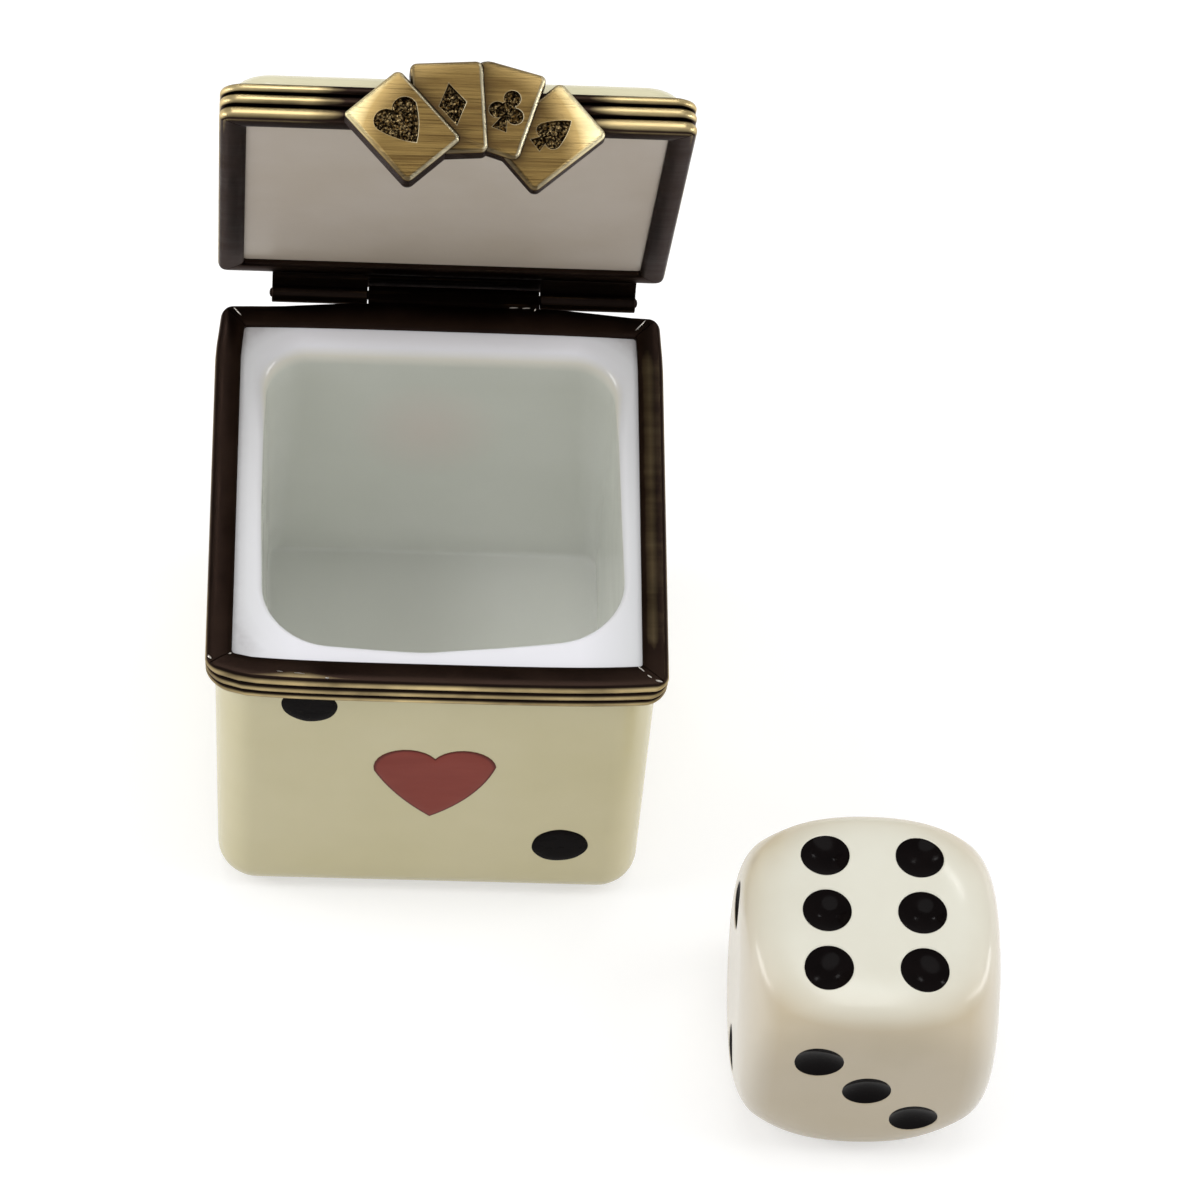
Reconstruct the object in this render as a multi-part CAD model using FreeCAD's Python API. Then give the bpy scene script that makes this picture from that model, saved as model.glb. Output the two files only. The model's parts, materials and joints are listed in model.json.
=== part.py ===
"""Die-shaped porcelain trinket box with a hinged lid, bronze bezels, a card-fan clasp and a loose die.

Units are millimetres. The origin is on the table under the middle of the box: X runs to the right
along the front, Y towards the hinge and Z up. The lid stands open, and the die stands on the table.
"""
import FreeCAD, Part
import math
import os

V = FreeCAD.Vector
UP = V(0, 0, 1)

# Box: overall sizes, over the crests of the bezels
BOX_WIDTH = 43.8
BOX_DEPTH = 43.8
SEAM_HEIGHT = 39.5
LID_HEIGHT = 5.5
SEAM_GAP = 0.2
LID_OPENING = 70.5

# Porcelain
CORNER_RADIUS = 4.0
FOOT_RADIUS = 3.3
LID_EDGE_RADIUS = 2.2
WALL = 4.0
CAVITY_ASIDE = 0.3
CAVITY_FORWARD = 0.9
CAVITY_CORNER = 5.5
CAVITY_FILLET = 1.5
FLOOR = 6.3
LIP_RADIUS = 1.2

# Bezels: a moulded strip of three reeds that carries a flat flange at the seam
REED_COUNT = 3
REED_PITCH = 1.2
REED_RISE = 0.4
BAND_WALL = 0.4
FLANGE_WIDTH = 2.5
FLANGE_THICKNESS = 0.6
BEZEL_CORNER = 1.8
WINDOW_CORNER = 0.5
CEMENT_GAP = 0.05

# Hinge: three knuckles on one pin behind the bezels
HINGE_BEHIND = 2.35
HINGE_BELOW_SEAM = 0.95
HINGE_LEFT_MARGIN = 5.35
HINGE_RIGHT_MARGIN = 2.65
BARREL_DIAMETER = 1.9
PIN_DIAMETER = 0.9
PIN_CLEARANCE = 0.05
PIN_SEAT = 0.02
PIN_HEAD = 0.25
BASE_KNUCKLE_SHARE = 0.464
KNUCKLE_GAP = 0.2
LEAF_THICKNESS = 0.9
LID_LEAF_HEIGHT = 0.9
BASE_LEAF_DROP = 0.15

# Clasp: a fan of four playing cards in one casting
CARD_WIDTH = 6.75
CARD_HEIGHT = 8.9
CARD_CORNER = 0.7
CARD_BEVEL = 0.15
CARD_THICKNESS = 1.2
CARD_STEP = 0.25
CLASP_CLEARANCE = 1.0
PAD_WIDTH = 12.0
SUIT_DEPTH = 0.4
SUIT_SIZE = 4.1

# Middle of each card (across the box, above the lid's lower edge) and its turn in degrees,
# from the lowest to the highest step, then the same for the suit that is sunk in it
CARDS = {
    "spade": (8.0, -1.55, -49.0),
    "club": (3.45, 1.15, -17.4),
    "diamond": (-1.05, 0.8, 4.1),
    "heart": (-5.2, -1.2, 42.2),
}
SIGNS = {
    "spade": (8.5, -1.2, -49.7),
    "club": (4.35, 0.8, -18.6),
    "diamond": (-0.7, 1.1, 11.0),
    "heart": (-5.15, -1.05, 34.0),
}

# Outlines of the suits, as shares of their width, height or size
HEART_NOTCH = 0.36
HEART_LOBE = 0.27
HEART_FLANK = 0.22
HEART_BELLY = 0.30
HEART_BELLY_DROP = 0.16
DIAMOND_HALF = 0.31
CLUB_LEAF = 0.19
CLUB_TOP = 0.29
CLUB_ACROSS = 0.21
CLUB_DROP = 0.08
SPADE_WIDTH = 0.66
SPADE_HEIGHT = 0.80
SPADE_RAISE = 0.10
STEM_HALF = 0.17

# Painted enamel on the box
ENAMEL = 0.12
ENAMEL_EDGE = 0.08
PIP_DIAMETER = 5.7
PIP_ACROSS = 12.5
PIP_LOW = 9.6
PIP_BELOW_BAND = 0.1
PIP_CUT_OFF = 0.45
LID_PIP_ACROSS = 9.5
LID_PIP_ALONG = 12.0
HEART_WIDTH = 12.0
HEART_HEIGHT = 11.4
HEART_MIDDLE = 0.5
HEART_CENTRE = 20.1

# Loose die
DIE_EDGE = 25.0
DIE_X = 42.25
DIE_Y = -37.3
DIE_BALL_SHARE = 1.336
DIE_FACE_SHARE = 0.08
DIE_PIP_DIAMETER = 4.95
DIE_PIP_DEPTH = 0.75
DIE_PIP_PAINT = 0.1
DIE_PIP_SEAT = 0.01
DIE_PIP_PITCH = 5.0
DIE_SIX_ACROSS = 4.55
DIE_SIX_ALONG = 6.3

# Sizes that follow
HALF_X = BOX_WIDTH / 2
HALF_Y = BOX_DEPTH / 2
INSET = REED_RISE + BAND_WALL
BODY_X = HALF_X - INSET
BODY_Y = HALF_Y - INSET
BAND = REED_COUNT * REED_PITCH
RIM = SEAM_HEIGHT - FLANGE_THICKNESS
LID_SEAM = SEAM_HEIGHT + SEAM_GAP
LID_UNDERSIDE = LID_SEAM + FLANGE_THICKNESS
LID_TOP = SEAM_HEIGHT + LID_HEIGHT
HINGE_Y = HALF_Y + HINGE_BEHIND
HINGE_Z = SEAM_HEIGHT - HINGE_BELOW_SEAM
HINGE_START = -HALF_X + HINGE_LEFT_MARGIN
HINGE_END = HALF_X - HINGE_RIGHT_MARGIN
HINGE_MIDDLE = (HINGE_START + HINGE_END) / 2
BASE_KNUCKLE_LENGTH = BASE_KNUCKLE_SHARE * (HINGE_END - HINGE_START)
LID_KNUCKLE_LENGTH = (HINGE_END - HINGE_START - BASE_KNUCKLE_LENGTH) / 2 - KNUCKLE_GAP
PIP_TOP = SEAM_HEIGHT - BAND - PIP_BELOW_BAND
PIP_HIGH = PIP_TOP + PIP_CUT_OFF - PIP_DIAMETER / 2
DIE_BALL_DIAMETER = DIE_BALL_SHARE * DIE_EDGE
DIE_FACE_RADIUS = DIE_FACE_SHARE * DIE_EDGE
PASS = 1.0
ROUND_SHARE = 0.95


def rounded_outline(half_x, half_y, radius, z):
    """Closed rectangle with round corners, level at height z, about the box's middle."""
    x, y = half_x - radius, half_y - radius
    round_off = radius * math.sqrt(0.5)
    edges = []
    for sx, sy in ((1, 1), (-1, 1), (-1, -1), (1, -1)):
        on_side, on_end = V(sx * half_x, sy * y, z), V(sx * x, sy * half_y, z)
        middle = V(sx * (x + round_off), sy * (y + round_off), z)
        first, last = (on_side, on_end) if sx * sy > 0 else (on_end, on_side)
        if edges:
            edges.append(Part.LineSegment(edges[-1].EndPoint, first))
        edges.append(Part.Arc(first, middle, last))
    edges.append(Part.LineSegment(edges[-1].EndPoint, edges[0].StartPoint))
    return Part.Wire([edge.toShape() for edge in edges])


def rounded_block(half_x, half_y, radius, low, high):
    """Upright block on that outline."""
    return Part.Face(rounded_outline(half_x, half_y, radius, low)).extrude(UP * (high - low))


def edges_at(shape, z):
    """The level edges of a shape at height z."""
    return [e for e in shape.Edges if abs(e.BoundBox.ZMin - z) < 1e-4 and abs(e.BoundBox.ZMax - z) < 1e-4]


def open_lid(shape):
    """Swings a piece of the closed lid up to the lid's open place."""
    shape.rotate(V(0, HINGE_Y, HINGE_Z), V(-1, 0, 0), LID_OPENING)
    return shape


def porcelain_base():
    """Cube-shaped cup with rounded corners, a soft foot, a cavity off its middle and a rounded lip."""
    body = rounded_block(BODY_X, BODY_Y, CORNER_RADIUS, 0, RIM)
    body = body.makeFillet(min(FOOT_RADIUS, CORNER_RADIUS * ROUND_SHARE), edges_at(body, 0))
    cavity = rounded_block(BODY_X - WALL, BODY_Y - WALL, CAVITY_CORNER, FLOOR, RIM + PASS)
    bottom = min(CAVITY_FILLET, CAVITY_CORNER * ROUND_SHARE)
    cavity = cavity.makeFillet(bottom, edges_at(cavity, FLOOR))
    cavity.translate(V(CAVITY_ASIDE, -CAVITY_FORWARD, 0))
    body = body.cut(cavity)
    mouth = rounded_block(BODY_X - WALL / 2, BODY_Y - WALL / 2, CORNER_RADIUS, RIM - PASS, RIM + PASS)
    lip = [e for e in edges_at(body, RIM) if mouth.isInside(e.CenterOfMass, 1e-6, False)]
    return body.makeFillet(LIP_RADIUS, lip)


def porcelain_lid():
    """Flat slab that carries the box's faces on up to a soft top edge."""
    slab = rounded_block(BODY_X, BODY_Y, CORNER_RADIUS, LID_UNDERSIDE, LID_TOP)
    return slab.makeFillet(min(LID_EDGE_RADIUS, CORNER_RADIUS * ROUND_SHARE), edges_at(slab, LID_TOP))


def reed_profile(low):
    """Half section of a reeded block, from a corner's axis out to the crests, standing on z = low."""
    groove = BEZEL_CORNER - REED_RISE
    edges = [Part.LineSegment(V(0, 0, low), V(groove, 0, low))]
    for reed in range(REED_COUNT):
        z = low + reed * REED_PITCH
        crest = V(BEZEL_CORNER, 0, z + REED_PITCH / 2)
        edges.append(Part.Arc(V(groove, 0, z), crest, V(groove, 0, z + REED_PITCH)))
    edges.append(Part.LineSegment(V(groove, 0, low + BAND), V(0, 0, low + BAND)))
    edges.append(Part.LineSegment(V(0, 0, low + BAND), V(0, 0, low)))
    return Part.Face(Part.Wire([edge.toShape() for edge in edges]))


def reeded_block(low):
    """Solid block whose four sides and round corners carry the reeds."""
    x, y = HALF_X - BEZEL_CORNER, HALF_Y - BEZEL_CORNER
    pieces = []
    for turn, corner, run in ((0, V(x, -y, 0), 2 * y), (90, V(x, y, 0), 2 * x),
                              (180, V(-x, y, 0), 2 * y), (270, V(-x, -y, 0), 2 * x)):
        profile = reed_profile(low)
        profile.rotate(V(0, 0, 0), UP, turn)
        profile.translate(corner)
        along = FreeCAD.Rotation(UP, turn).multVec(V(0, 1, 0))
        pieces.append(profile.extrude(along * run))
        pieces.append(profile.revolve(corner, UP, -90))
    core = Part.makeBox(2 * x, 2 * y, BAND, V(-x, -y, low))
    return core.multiFuse(pieces).removeSplitter()


def bezel(low, seat_low, seat_high):
    """Reeded strip with its flange; the seat is the height over which it grips the porcelain."""
    ring = reeded_block(low)
    window_x, window_y = HALF_X - FLANGE_WIDTH, HALF_Y - FLANGE_WIDTH
    window = rounded_block(window_x, window_y, WINDOW_CORNER, low - PASS, low + BAND + PASS)
    seat_x, seat_y = BODY_X + CEMENT_GAP, BODY_Y + CEMENT_GAP
    seat = rounded_block(seat_x, seat_y, CORNER_RADIUS + CEMENT_GAP, seat_low, seat_high)
    return ring.cut(window).cut(seat)


def base_bezel():
    """Bezel round the cup's rim, flange up."""
    low = SEAM_HEIGHT - BAND
    return bezel(low, low - PASS, RIM)


def lid_bezel():
    """Bezel round the lid's lower edge, flange down."""
    return bezel(LID_SEAM, LID_UNDERSIDE, LID_SEAM + BAND + PASS)


def knuckle(start, length, bore, leaf_end, neighbour):
    """Hinge tube with the leaf that joins it to a bezel; the leaf ends at a height on the back."""
    radius = BARREL_DIAMETER / 2
    tip = V(start, HALF_Y - REED_RISE, leaf_end)
    root = V(start, HINGE_Y, HINGE_Z + math.copysign(radius - LEAF_THICKNESS / 2, leaf_end - HINGE_Z))
    along = (tip - root).normalize()
    aside = V(0, -along.z, along.y) * (LEAF_THICKNESS / 2)
    leaf = Part.Face(Part.makePolygon([root + aside, tip + aside, tip - aside, root - aside, root + aside]))
    leaf = leaf.extrude(V(length, 0, 0))
    tube = Part.makeCylinder(radius, length, V(start, HINGE_Y, HINGE_Z), V(1, 0, 0))
    hole = Part.makeCylinder(bore / 2, length + 2 * PASS, V(start - PASS, HINGE_Y, HINGE_Z), V(1, 0, 0))
    return tube.fuse(leaf).cut(hole).cut(neighbour).removeSplitter()


def base_knuckle(neighbour):
    """Middle knuckle, soldered to the base bezel."""
    start = HINGE_MIDDLE - BASE_KNUCKLE_LENGTH / 2
    leaf_end = SEAM_HEIGHT - BASE_LEAF_DROP - LEAF_THICKNESS / 2
    return knuckle(start, BASE_KNUCKLE_LENGTH, PIN_DIAMETER + 2 * PIN_CLEARANCE, leaf_end, neighbour)


def lid_knuckle(side, neighbour):
    """Outer knuckle on the left (-1) or right (+1), soldered to the lid bezel."""
    inner = BASE_KNUCKLE_LENGTH / 2 + KNUCKLE_GAP
    start = HINGE_MIDDLE + (inner if side > 0 else -inner - LID_KNUCKLE_LENGTH)
    leaf_end = LID_SEAM + LID_LEAF_HEIGHT
    return knuckle(start, LID_KNUCKLE_LENGTH, PIN_DIAMETER + 2 * PIN_SEAT, leaf_end, neighbour)


def hinge_pin():
    """Pin through the three knuckles, with a domed head at each end."""
    half = BASE_KNUCKLE_LENGTH / 2 + KNUCKLE_GAP + LID_KNUCKLE_LENGTH
    radius = PIN_DIAMETER / 2
    start, end = HINGE_MIDDLE - half, HINGE_MIDDLE + half
    ball = (radius ** 2 + PIN_HEAD ** 2) / (2 * PIN_HEAD)
    slope = math.asin(radius / ball) / 2
    out, up = PIN_HEAD - ball * (1 - math.cos(slope)), ball * math.sin(slope)
    edges = [
        Part.LineSegment(V(start - PIN_HEAD, 0, 0), V(end + PIN_HEAD, 0, 0)),
        Part.Arc(V(end + PIN_HEAD, 0, 0), V(end + out, 0, up), V(end, 0, radius)),
        Part.LineSegment(V(end, 0, radius), V(start, 0, radius)),
        Part.Arc(V(start, 0, radius), V(start - out, 0, up), V(start - PIN_HEAD, 0, 0)),
    ]
    half_section = Part.Face(Part.Wire([edge.toShape() for edge in edges]))
    pin = half_section.revolve(V(0, 0, 0), V(1, 0, 0), 360)
    pin.translate(V(0, HINGE_Y, HINGE_Z))
    return pin


def heart_face(width, height):
    """Flat heart in the XZ plane, point down, with its middle at the origin."""
    notch, tip = V(0, 0, height * HEART_NOTCH), V(0, 0, -height / 2)
    edges = []
    for side in (1, -1):
        top = V(side * width * HEART_LOBE, 0, height / 2)
        flank = V(side * width / 2, 0, height * HEART_FLANK)
        belly = V(side * width * HEART_BELLY, 0, -height * HEART_BELLY_DROP)
        edges.append(Part.Arc(notch, top, flank))
        edges.append(Part.Arc(flank, belly, tip))
    return Part.Face(Part.Wire(Part.__sortEdges__([edge.toShape() for edge in edges])))


def disc(x, z, radius):
    """Flat disc in the XZ plane."""
    return Part.Face(Part.Wire(Part.Circle(V(x, 0, z), V(0, -1, 0), radius).toShape()))


def stem(size):
    """Flared foot of a club or a spade."""
    half = size * STEM_HALF
    points = [V(0, 0, 0), V(-half, 0, -size / 2), V(half, 0, -size / 2), V(0, 0, 0)]
    return Part.Face(Part.makePolygon(points))


def diamond_face(size):
    """Flat diamond in the XZ plane."""
    half = size * DIAMOND_HALF
    points = [V(0, 0, size / 2), V(half, 0, 0), V(0, 0, -size / 2), V(-half, 0, 0), V(0, 0, size / 2)]
    return Part.Face(Part.makePolygon(points))


def club_face(size):
    """Flat club in the XZ plane: three leaves on a stem."""
    radius = size * CLUB_LEAF
    middles = ((0, CLUB_TOP), (-CLUB_ACROSS, -CLUB_DROP), (CLUB_ACROSS, -CLUB_DROP), (0, 0))
    return stem(size).multiFuse([disc(x * size, z * size, radius) for x, z in middles])


def spade_face(size):
    """Flat spade in the XZ plane: a heart on its head, on a stem."""
    blade = heart_face(size * SPADE_WIDTH, size * SPADE_HEIGHT)
    blade.rotate(V(0, 0, 0), V(0, 1, 0), 180)
    blade.translate(V(0, 0, size * SPADE_RAISE))
    return blade.fuse(stem(size))


def suit_face(suit):
    """Flat sign of a suit."""
    makers = {"diamond": diamond_face, "club": club_face, "spade": spade_face}
    if suit == "heart":
        return heart_face(SUIT_SIZE, SUIT_SIZE)
    return makers[suit](SUIT_SIZE)


def card_clasp(neighbour):
    """Casting of four fanned cards with sunken suits, and the pad that is soldered to the lid bezel."""
    back = -HALF_Y - CLASP_CLEARANCE
    bodies, signs = [], []
    for step, suit in enumerate(CARDS):
        face_y = back - CARD_THICKNESS - step * CARD_STEP
        outline = rounded_outline(CARD_WIDTH / 2, CARD_HEIGHT / 2, CARD_CORNER, 0)
        outline.rotate(V(0, 0, 0), V(1, 0, 0), 90)
        card = Part.Face(outline)
        sign = suit_face(suit)
        for flat, (x, above, turn) in ((card, CARDS[suit]), (sign, SIGNS[suit])):
            flat.rotate(V(0, 0, 0), V(0, 1, 0), -turn)
            flat.translate(V(x, face_y, LID_SEAM + above))
        body = card.extrude(V(0, back - face_y, 0))
        rim = [e for e in body.Edges if abs(e.CenterOfMass.y - face_y) < 1e-6]
        bodies.append(body.makeChamfer(CARD_BEVEL, rim))
        signs.append(sign.extrude(V(0, SUIT_DEPTH, 0)))
    pad = Part.makeBox(PAD_WIDTH, REED_RISE + CLASP_CLEARANCE, BAND - 2 * REED_RISE,
                       V(-PAD_WIDTH / 2, back, LID_SEAM + REED_RISE))
    fan = bodies[0].multiFuse(bodies[1:] + [pad])
    return fan.cut(neighbour).cut(Part.Compound(signs)).removeSplitter()


def enamel_pip(place, outward):
    """Painted spot: a low disc with a sloping edge."""
    radius = PIP_DIAMETER / 2
    return Part.makeCone(radius, radius - ENAMEL_EDGE, ENAMEL, place, outward)


def pip_places(count):
    """Places of a die's pips on one face, as steps across and up from its middle."""
    ends = [(-1, 1), (1, -1)]
    others = [(1, 1), (-1, -1)]
    return {1: [(0, 0)], 2: ends, 3: ends + [(0, 0)], 4: ends + others, 5: ends + others + [(0, 0)],
            6: ends + others + [(-1, 0), (1, 0)]}[count]


def wall_pips(count, wall, across, outward):
    """Pips on an upright wall of the base; wall is the wall's middle at table height. The band cuts
    the upper ones off."""
    middle, rise = (PIP_HIGH + PIP_LOW) / 2, (PIP_HIGH - PIP_LOW) / 2
    places = [wall + across * (u * PIP_ACROSS) + UP * (middle + v * rise) for u, v in pip_places(count)]
    under_band = Part.makeBox(2 * BOX_WIDTH, 2 * BOX_DEPTH, PIP_TOP, V(-BOX_WIDTH, -BOX_DEPTH, 0))
    return Part.Compound([enamel_pip(place, outward).common(under_band) for place in places])


def front_pips():
    """Two outer pips of the three on the front; the heart stands for the middle one."""
    return wall_pips(2, V(0, -BODY_Y, 0), V(1, 0, 0), V(0, -1, 0))


def left_pips():
    """Two on the left wall."""
    return wall_pips(2, V(-BODY_X, 0, 0), V(0, -1, 0), V(-1, 0, 0))


def right_pips():
    """Five on the right wall."""
    return wall_pips(5, V(BODY_X, 0, 0), V(0, 1, 0), V(1, 0, 0))


def back_pips():
    """Four on the back wall."""
    return wall_pips(4, V(0, BODY_Y, 0), V(-1, 0, 0), V(0, 1, 0))


def lid_pips():
    """Six on top of the lid."""
    places = [V(u * LID_PIP_ACROSS, v * LID_PIP_ALONG, LID_TOP) for u, v in pip_places(6)]
    return Part.Compound([enamel_pip(place, UP) for place in places])


def front_heart():
    """Painted heart in the middle of the front."""
    heart = heart_face(HEART_WIDTH, HEART_HEIGHT)
    heart.translate(V(HEART_MIDDLE, -BODY_Y, HEART_CENTRE))
    return heart.extrude(V(0, -ENAMEL, 0))


def die_faces():
    """The die's faces: count, outward direction, across, up and the two pip steps."""
    x, y = V(1, 0, 0), V(0, 1, 0)
    step = (DIE_PIP_PITCH, DIE_PIP_PITCH)
    return [(6, UP, x, y, (DIE_SIX_ACROSS, DIE_SIX_ALONG)), (1, -UP, x, -y, step), (3, -y, x, UP, step),
            (4, y, -x, UP, step), (2, -x, -y, UP, step), (5, x, y, UP, step)]


def die_cups(sink, grow):
    """Round-bottomed cups at the die's pips, sunk by a depth, from a ball grown by a clearance."""
    rim = DIE_PIP_DIAMETER / 2
    ball = (rim ** 2 + DIE_PIP_DEPTH ** 2) / (2 * DIE_PIP_DEPTH)
    middle = V(DIE_X, DIE_Y, DIE_EDGE / 2)
    cups = []
    for count, outward, across, up, (step_u, step_v) in die_faces():
        for u, v in pip_places(count):
            place = middle + outward * (DIE_EDGE / 2) + across * (u * step_u) + up * (v * step_v)
            cups.append(Part.makeSphere(ball + grow, place + outward * (ball - sink)))
    return cups


def die_blank():
    """Cube turned down to a ball at its edges and corners, with round faces that end softly."""
    half = DIE_EDGE / 2
    cube = Part.makeBox(DIE_EDGE, DIE_EDGE, DIE_EDGE, V(DIE_X - half, DIE_Y - half, 0))
    blank = cube.common(Part.makeSphere(DIE_BALL_DIAMETER / 2, V(DIE_X, DIE_Y, half)))
    rings = [e for e in blank.Edges if isinstance(e.Curve, Part.Circle) and e.Curve.Radius < half]
    return blank.makeFillet(DIE_FACE_RADIUS, rings)


def die_body():
    """Die with a shallow cup at each pip."""
    return die_blank().cut(Part.Compound(die_cups(DIE_PIP_DEPTH, DIE_PIP_SEAT)))


def die_pips():
    """Paint that lines each cup."""
    blank = die_blank()
    linings = []
    for outer, inner in zip(die_cups(DIE_PIP_DEPTH, 0), die_cups(DIE_PIP_DEPTH - DIE_PIP_PAINT, 0)):
        linings.append(outer.common(blank).cut(inner))
    return Part.Compound(linings)


def main():
    """Builds every piece and writes one file for each."""
    base_ring, lid_ring = base_bezel(), lid_bezel()
    pieces = {
        "porcelain_base": porcelain_base(),
        "base_bezel": base_ring,
        "base_knuckle": base_knuckle(base_ring),
        "front_pips": front_pips(),
        "front_heart": front_heart(),
        "left_pips": left_pips(),
        "right_pips": right_pips(),
        "back_pips": back_pips(),
        "die_body": die_body(),
        "die_pips": die_pips(),
    }
    lid_pieces = {
        "porcelain_lid": porcelain_lid(),
        "lid_bezel": lid_ring,
        "lid_knuckle_left": lid_knuckle(-1, lid_ring),
        "lid_knuckle_right": lid_knuckle(1, lid_ring),
        "hinge_pin": hinge_pin(),
        "card_clasp": card_clasp(lid_ring),
        "lid_pips": lid_pips(),
    }
    for name, piece in lid_pieces.items():
        pieces[name] = open_lid(piece.copy())
    os.makedirs("parts", exist_ok=True)
    for name, piece in pieces.items():
        piece.exportStep(f"parts/{name}.step")
        state = "valid" if piece.isValid() else "NOT VALID"
        print(name, len(piece.Solids), "solids", round(piece.Volume, 2), "mm3", state)


main()
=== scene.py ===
"""Looks of the die-shaped porcelain box with its card-fan clasp, and of its loose die.

Lengths are in millimetres and become metres when a mesh is made. The pieces of the lid are shaped
on the closed box and then swung open about the hinge, to where the frame holds them.
"""
import itertools
import json
import math

import bmesh
import bpy
import numpy as np
from mathutils import Matrix, Quaternion, Vector
from mathutils.geometry import delaunay_2d_cdt


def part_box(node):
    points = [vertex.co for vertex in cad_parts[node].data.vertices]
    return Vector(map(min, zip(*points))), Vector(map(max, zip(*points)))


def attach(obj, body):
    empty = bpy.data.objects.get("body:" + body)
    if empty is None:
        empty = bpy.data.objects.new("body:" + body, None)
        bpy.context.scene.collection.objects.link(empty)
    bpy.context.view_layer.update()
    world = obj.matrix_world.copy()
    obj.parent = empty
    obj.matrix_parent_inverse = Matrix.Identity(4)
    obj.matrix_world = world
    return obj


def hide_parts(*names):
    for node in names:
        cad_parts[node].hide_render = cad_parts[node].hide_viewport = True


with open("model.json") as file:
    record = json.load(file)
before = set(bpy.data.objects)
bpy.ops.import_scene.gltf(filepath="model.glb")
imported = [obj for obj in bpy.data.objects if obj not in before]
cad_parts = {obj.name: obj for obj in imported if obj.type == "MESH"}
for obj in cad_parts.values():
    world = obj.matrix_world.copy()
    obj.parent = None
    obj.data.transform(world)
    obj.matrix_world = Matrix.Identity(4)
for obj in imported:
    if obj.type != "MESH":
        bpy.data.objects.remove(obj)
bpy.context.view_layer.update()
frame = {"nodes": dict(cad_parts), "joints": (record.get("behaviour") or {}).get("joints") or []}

MM = 0.001


def joint(name):
    """A joint of the frame."""
    return next(j for j in frame["joints"] if j["name"] == name)


def corners(node):
    """Lowest and highest corner of a node, in millimetres."""
    return [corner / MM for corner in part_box(node)]


# Places from the frame
BEZEL_LOW, BEZEL_HIGH = corners("base_bezel")
DIE_LOW, DIE_HIGH = corners("die_body")
BODY_X, BODY_Y, RIM = corners("porcelain_base")[1]
HALF_X, HALF_Y, SEAM = BEZEL_HIGH
BAND = SEAM - BEZEL_LOW.z
HINGE = Vector(joint("lid_hinge")["pos_m"]) / MM
OPENING = math.radians(-joint("lid_hinge")["range_deg"][0])

# Porcelain
CORNER_RADIUS = 4.0
FOOT_RADIUS = 3.3
LID_EDGE_RADIUS = 2.2
WALL = 4.0
CAVITY_MIDDLE = (0.3, -0.9)
CAVITY_CORNERS = np.array([4.2, 4.2, 6.0, 6.0])
FLOOR_CORNERS = np.array([1.6, 1.6, 5.0, 5.0])
CAVITY_FILLET = 0.5
FLOOR = 6.3
SIDE_LIP = 0.6
BACK_LIP = 1.9
MOUTH_GROWTH = 0.2
BACK_SHIFT = 0.55
LID_HEIGHT = 5.49
SEAM_GAP = 0.2

# Hand-made shape of the base: its walls lean, its front edge bows out and its mouth is lopsided.
# A span is where a change starts and how far it runs, here in shares of the half width or half depth
DRAFT = 0.35
SKEW = 0.5
FRONT_BOW = 0.72
BACK_BOW = 0.3
BOW_SPAN = (0.82, 0.06)
HINGE_BULGE = 0.6
BULGE_HALF = 17.5
BULGE_FADE = 7.5
BULGE_SPAN = (0.93, 0.05)
LEFT_CORNER_PULL = 0.75
LEFT_CORNER_SPAN = (0.8, 0.2)
LEFT_FRONT_SPAN = (0.0, 0.8)
BACK_LEFT_PULL = 0.45
BACK_RIGHT_PULL = 0.25
BACK_CORNER_SPAN = (0.7, 0.3)

# Mouth of the cavity, with spans in millimetres from the middle of the box
MOUTH_HALF = 17.0
MOUTH_BOW = 0.95
MOUTH_TURN = 0.085
MOUTH_TURN_FROM = -1.0
MOUTH_FRONT_SPAN = (0.0, 12.0)
MOUTH_LEAN = 0.3
LEAN_ACROSS_SPAN = (0.0, 10.0)
LEAN_FRONT_SPAN = (0.0, 15.0)
SOFT_LIP_SPAN = (6.0, 8.0)

# Bezels
REED_SHARES = (0.40, 0.33, 0.27)
REED_RISE = 0.4
FLANGE_WIDTH = 2.5
FLANGE_THICKNESS = 0.6
FLANGE_CORNER = 0.5
REED_CORNER = 1.1
REED_CORNER_GROWTH = 0.35
WINDOW_CORNER = 0.3
CEMENT_GAP = 0.05
GROOVE_DEPTH = 0.2
MITRE_DEPTH = 0.12

# Hinge
BARREL_RADIUS = 0.95
PIN_RADIUS = 0.45
PIN_HEAD = 0.25
BASE_KNUCKLE_LENGTH = 16.81
LID_KNUCKLE_LENGTH = 9.39
KNUCKLE_GAP = 0.1
LEAF_THICKNESS = 0.9
LID_LEAF_HEIGHT = 0.9
BASE_LEAF_DROP = 0.15
LEAF_OVERLAP = 0.1
END_BEVEL = 0.08
BARREL_STEPS = 28
LEAF_STEPS = 4
PIN_STEPS = 6
PIN_POINTS = 32

# Clasp
CARD_WIDTH = 6.75
CARD_HEIGHT = 8.9
CARD_CORNER = 0.7
LEAST_CORNER = 0.15
CARD_CORNER_STEPS = 6
MITRE_LIMIT = 0.45
CARD_THICKNESS = 1.2
CARD_STEP = 0.25
CLASP_CLEARANCE = 1.0
PAD_WIDTH = 12.0
PAD_SOFT = 0.2
SUIT_DEPTH = 0.4
STIPPLE = 0.10
# Middle of each card, across the box and above the lid's lower edge, and its turn; then its suit's
CARDS = {
    "spade": (8.0, -1.55, -49.0),
    "club": (3.45, 1.15, -17.4),
    "diamond": (-1.05, 0.8, 4.1),
    "heart": (-5.2, -1.2, 42.2),
}
SIGNS = {
    "spade": (8.5, -1.2, -53.0),
    "club": (4.3, 0.8, -21.0),
    "diamond": (-0.7, 1.1, 11.5),
    "heart": (-5.25, -1.05, 37.0),
}
SIGN_SIZES = {"spade": 4.1, "club": 4.1, "diamond": 4.1, "heart": 4.4}
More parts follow.
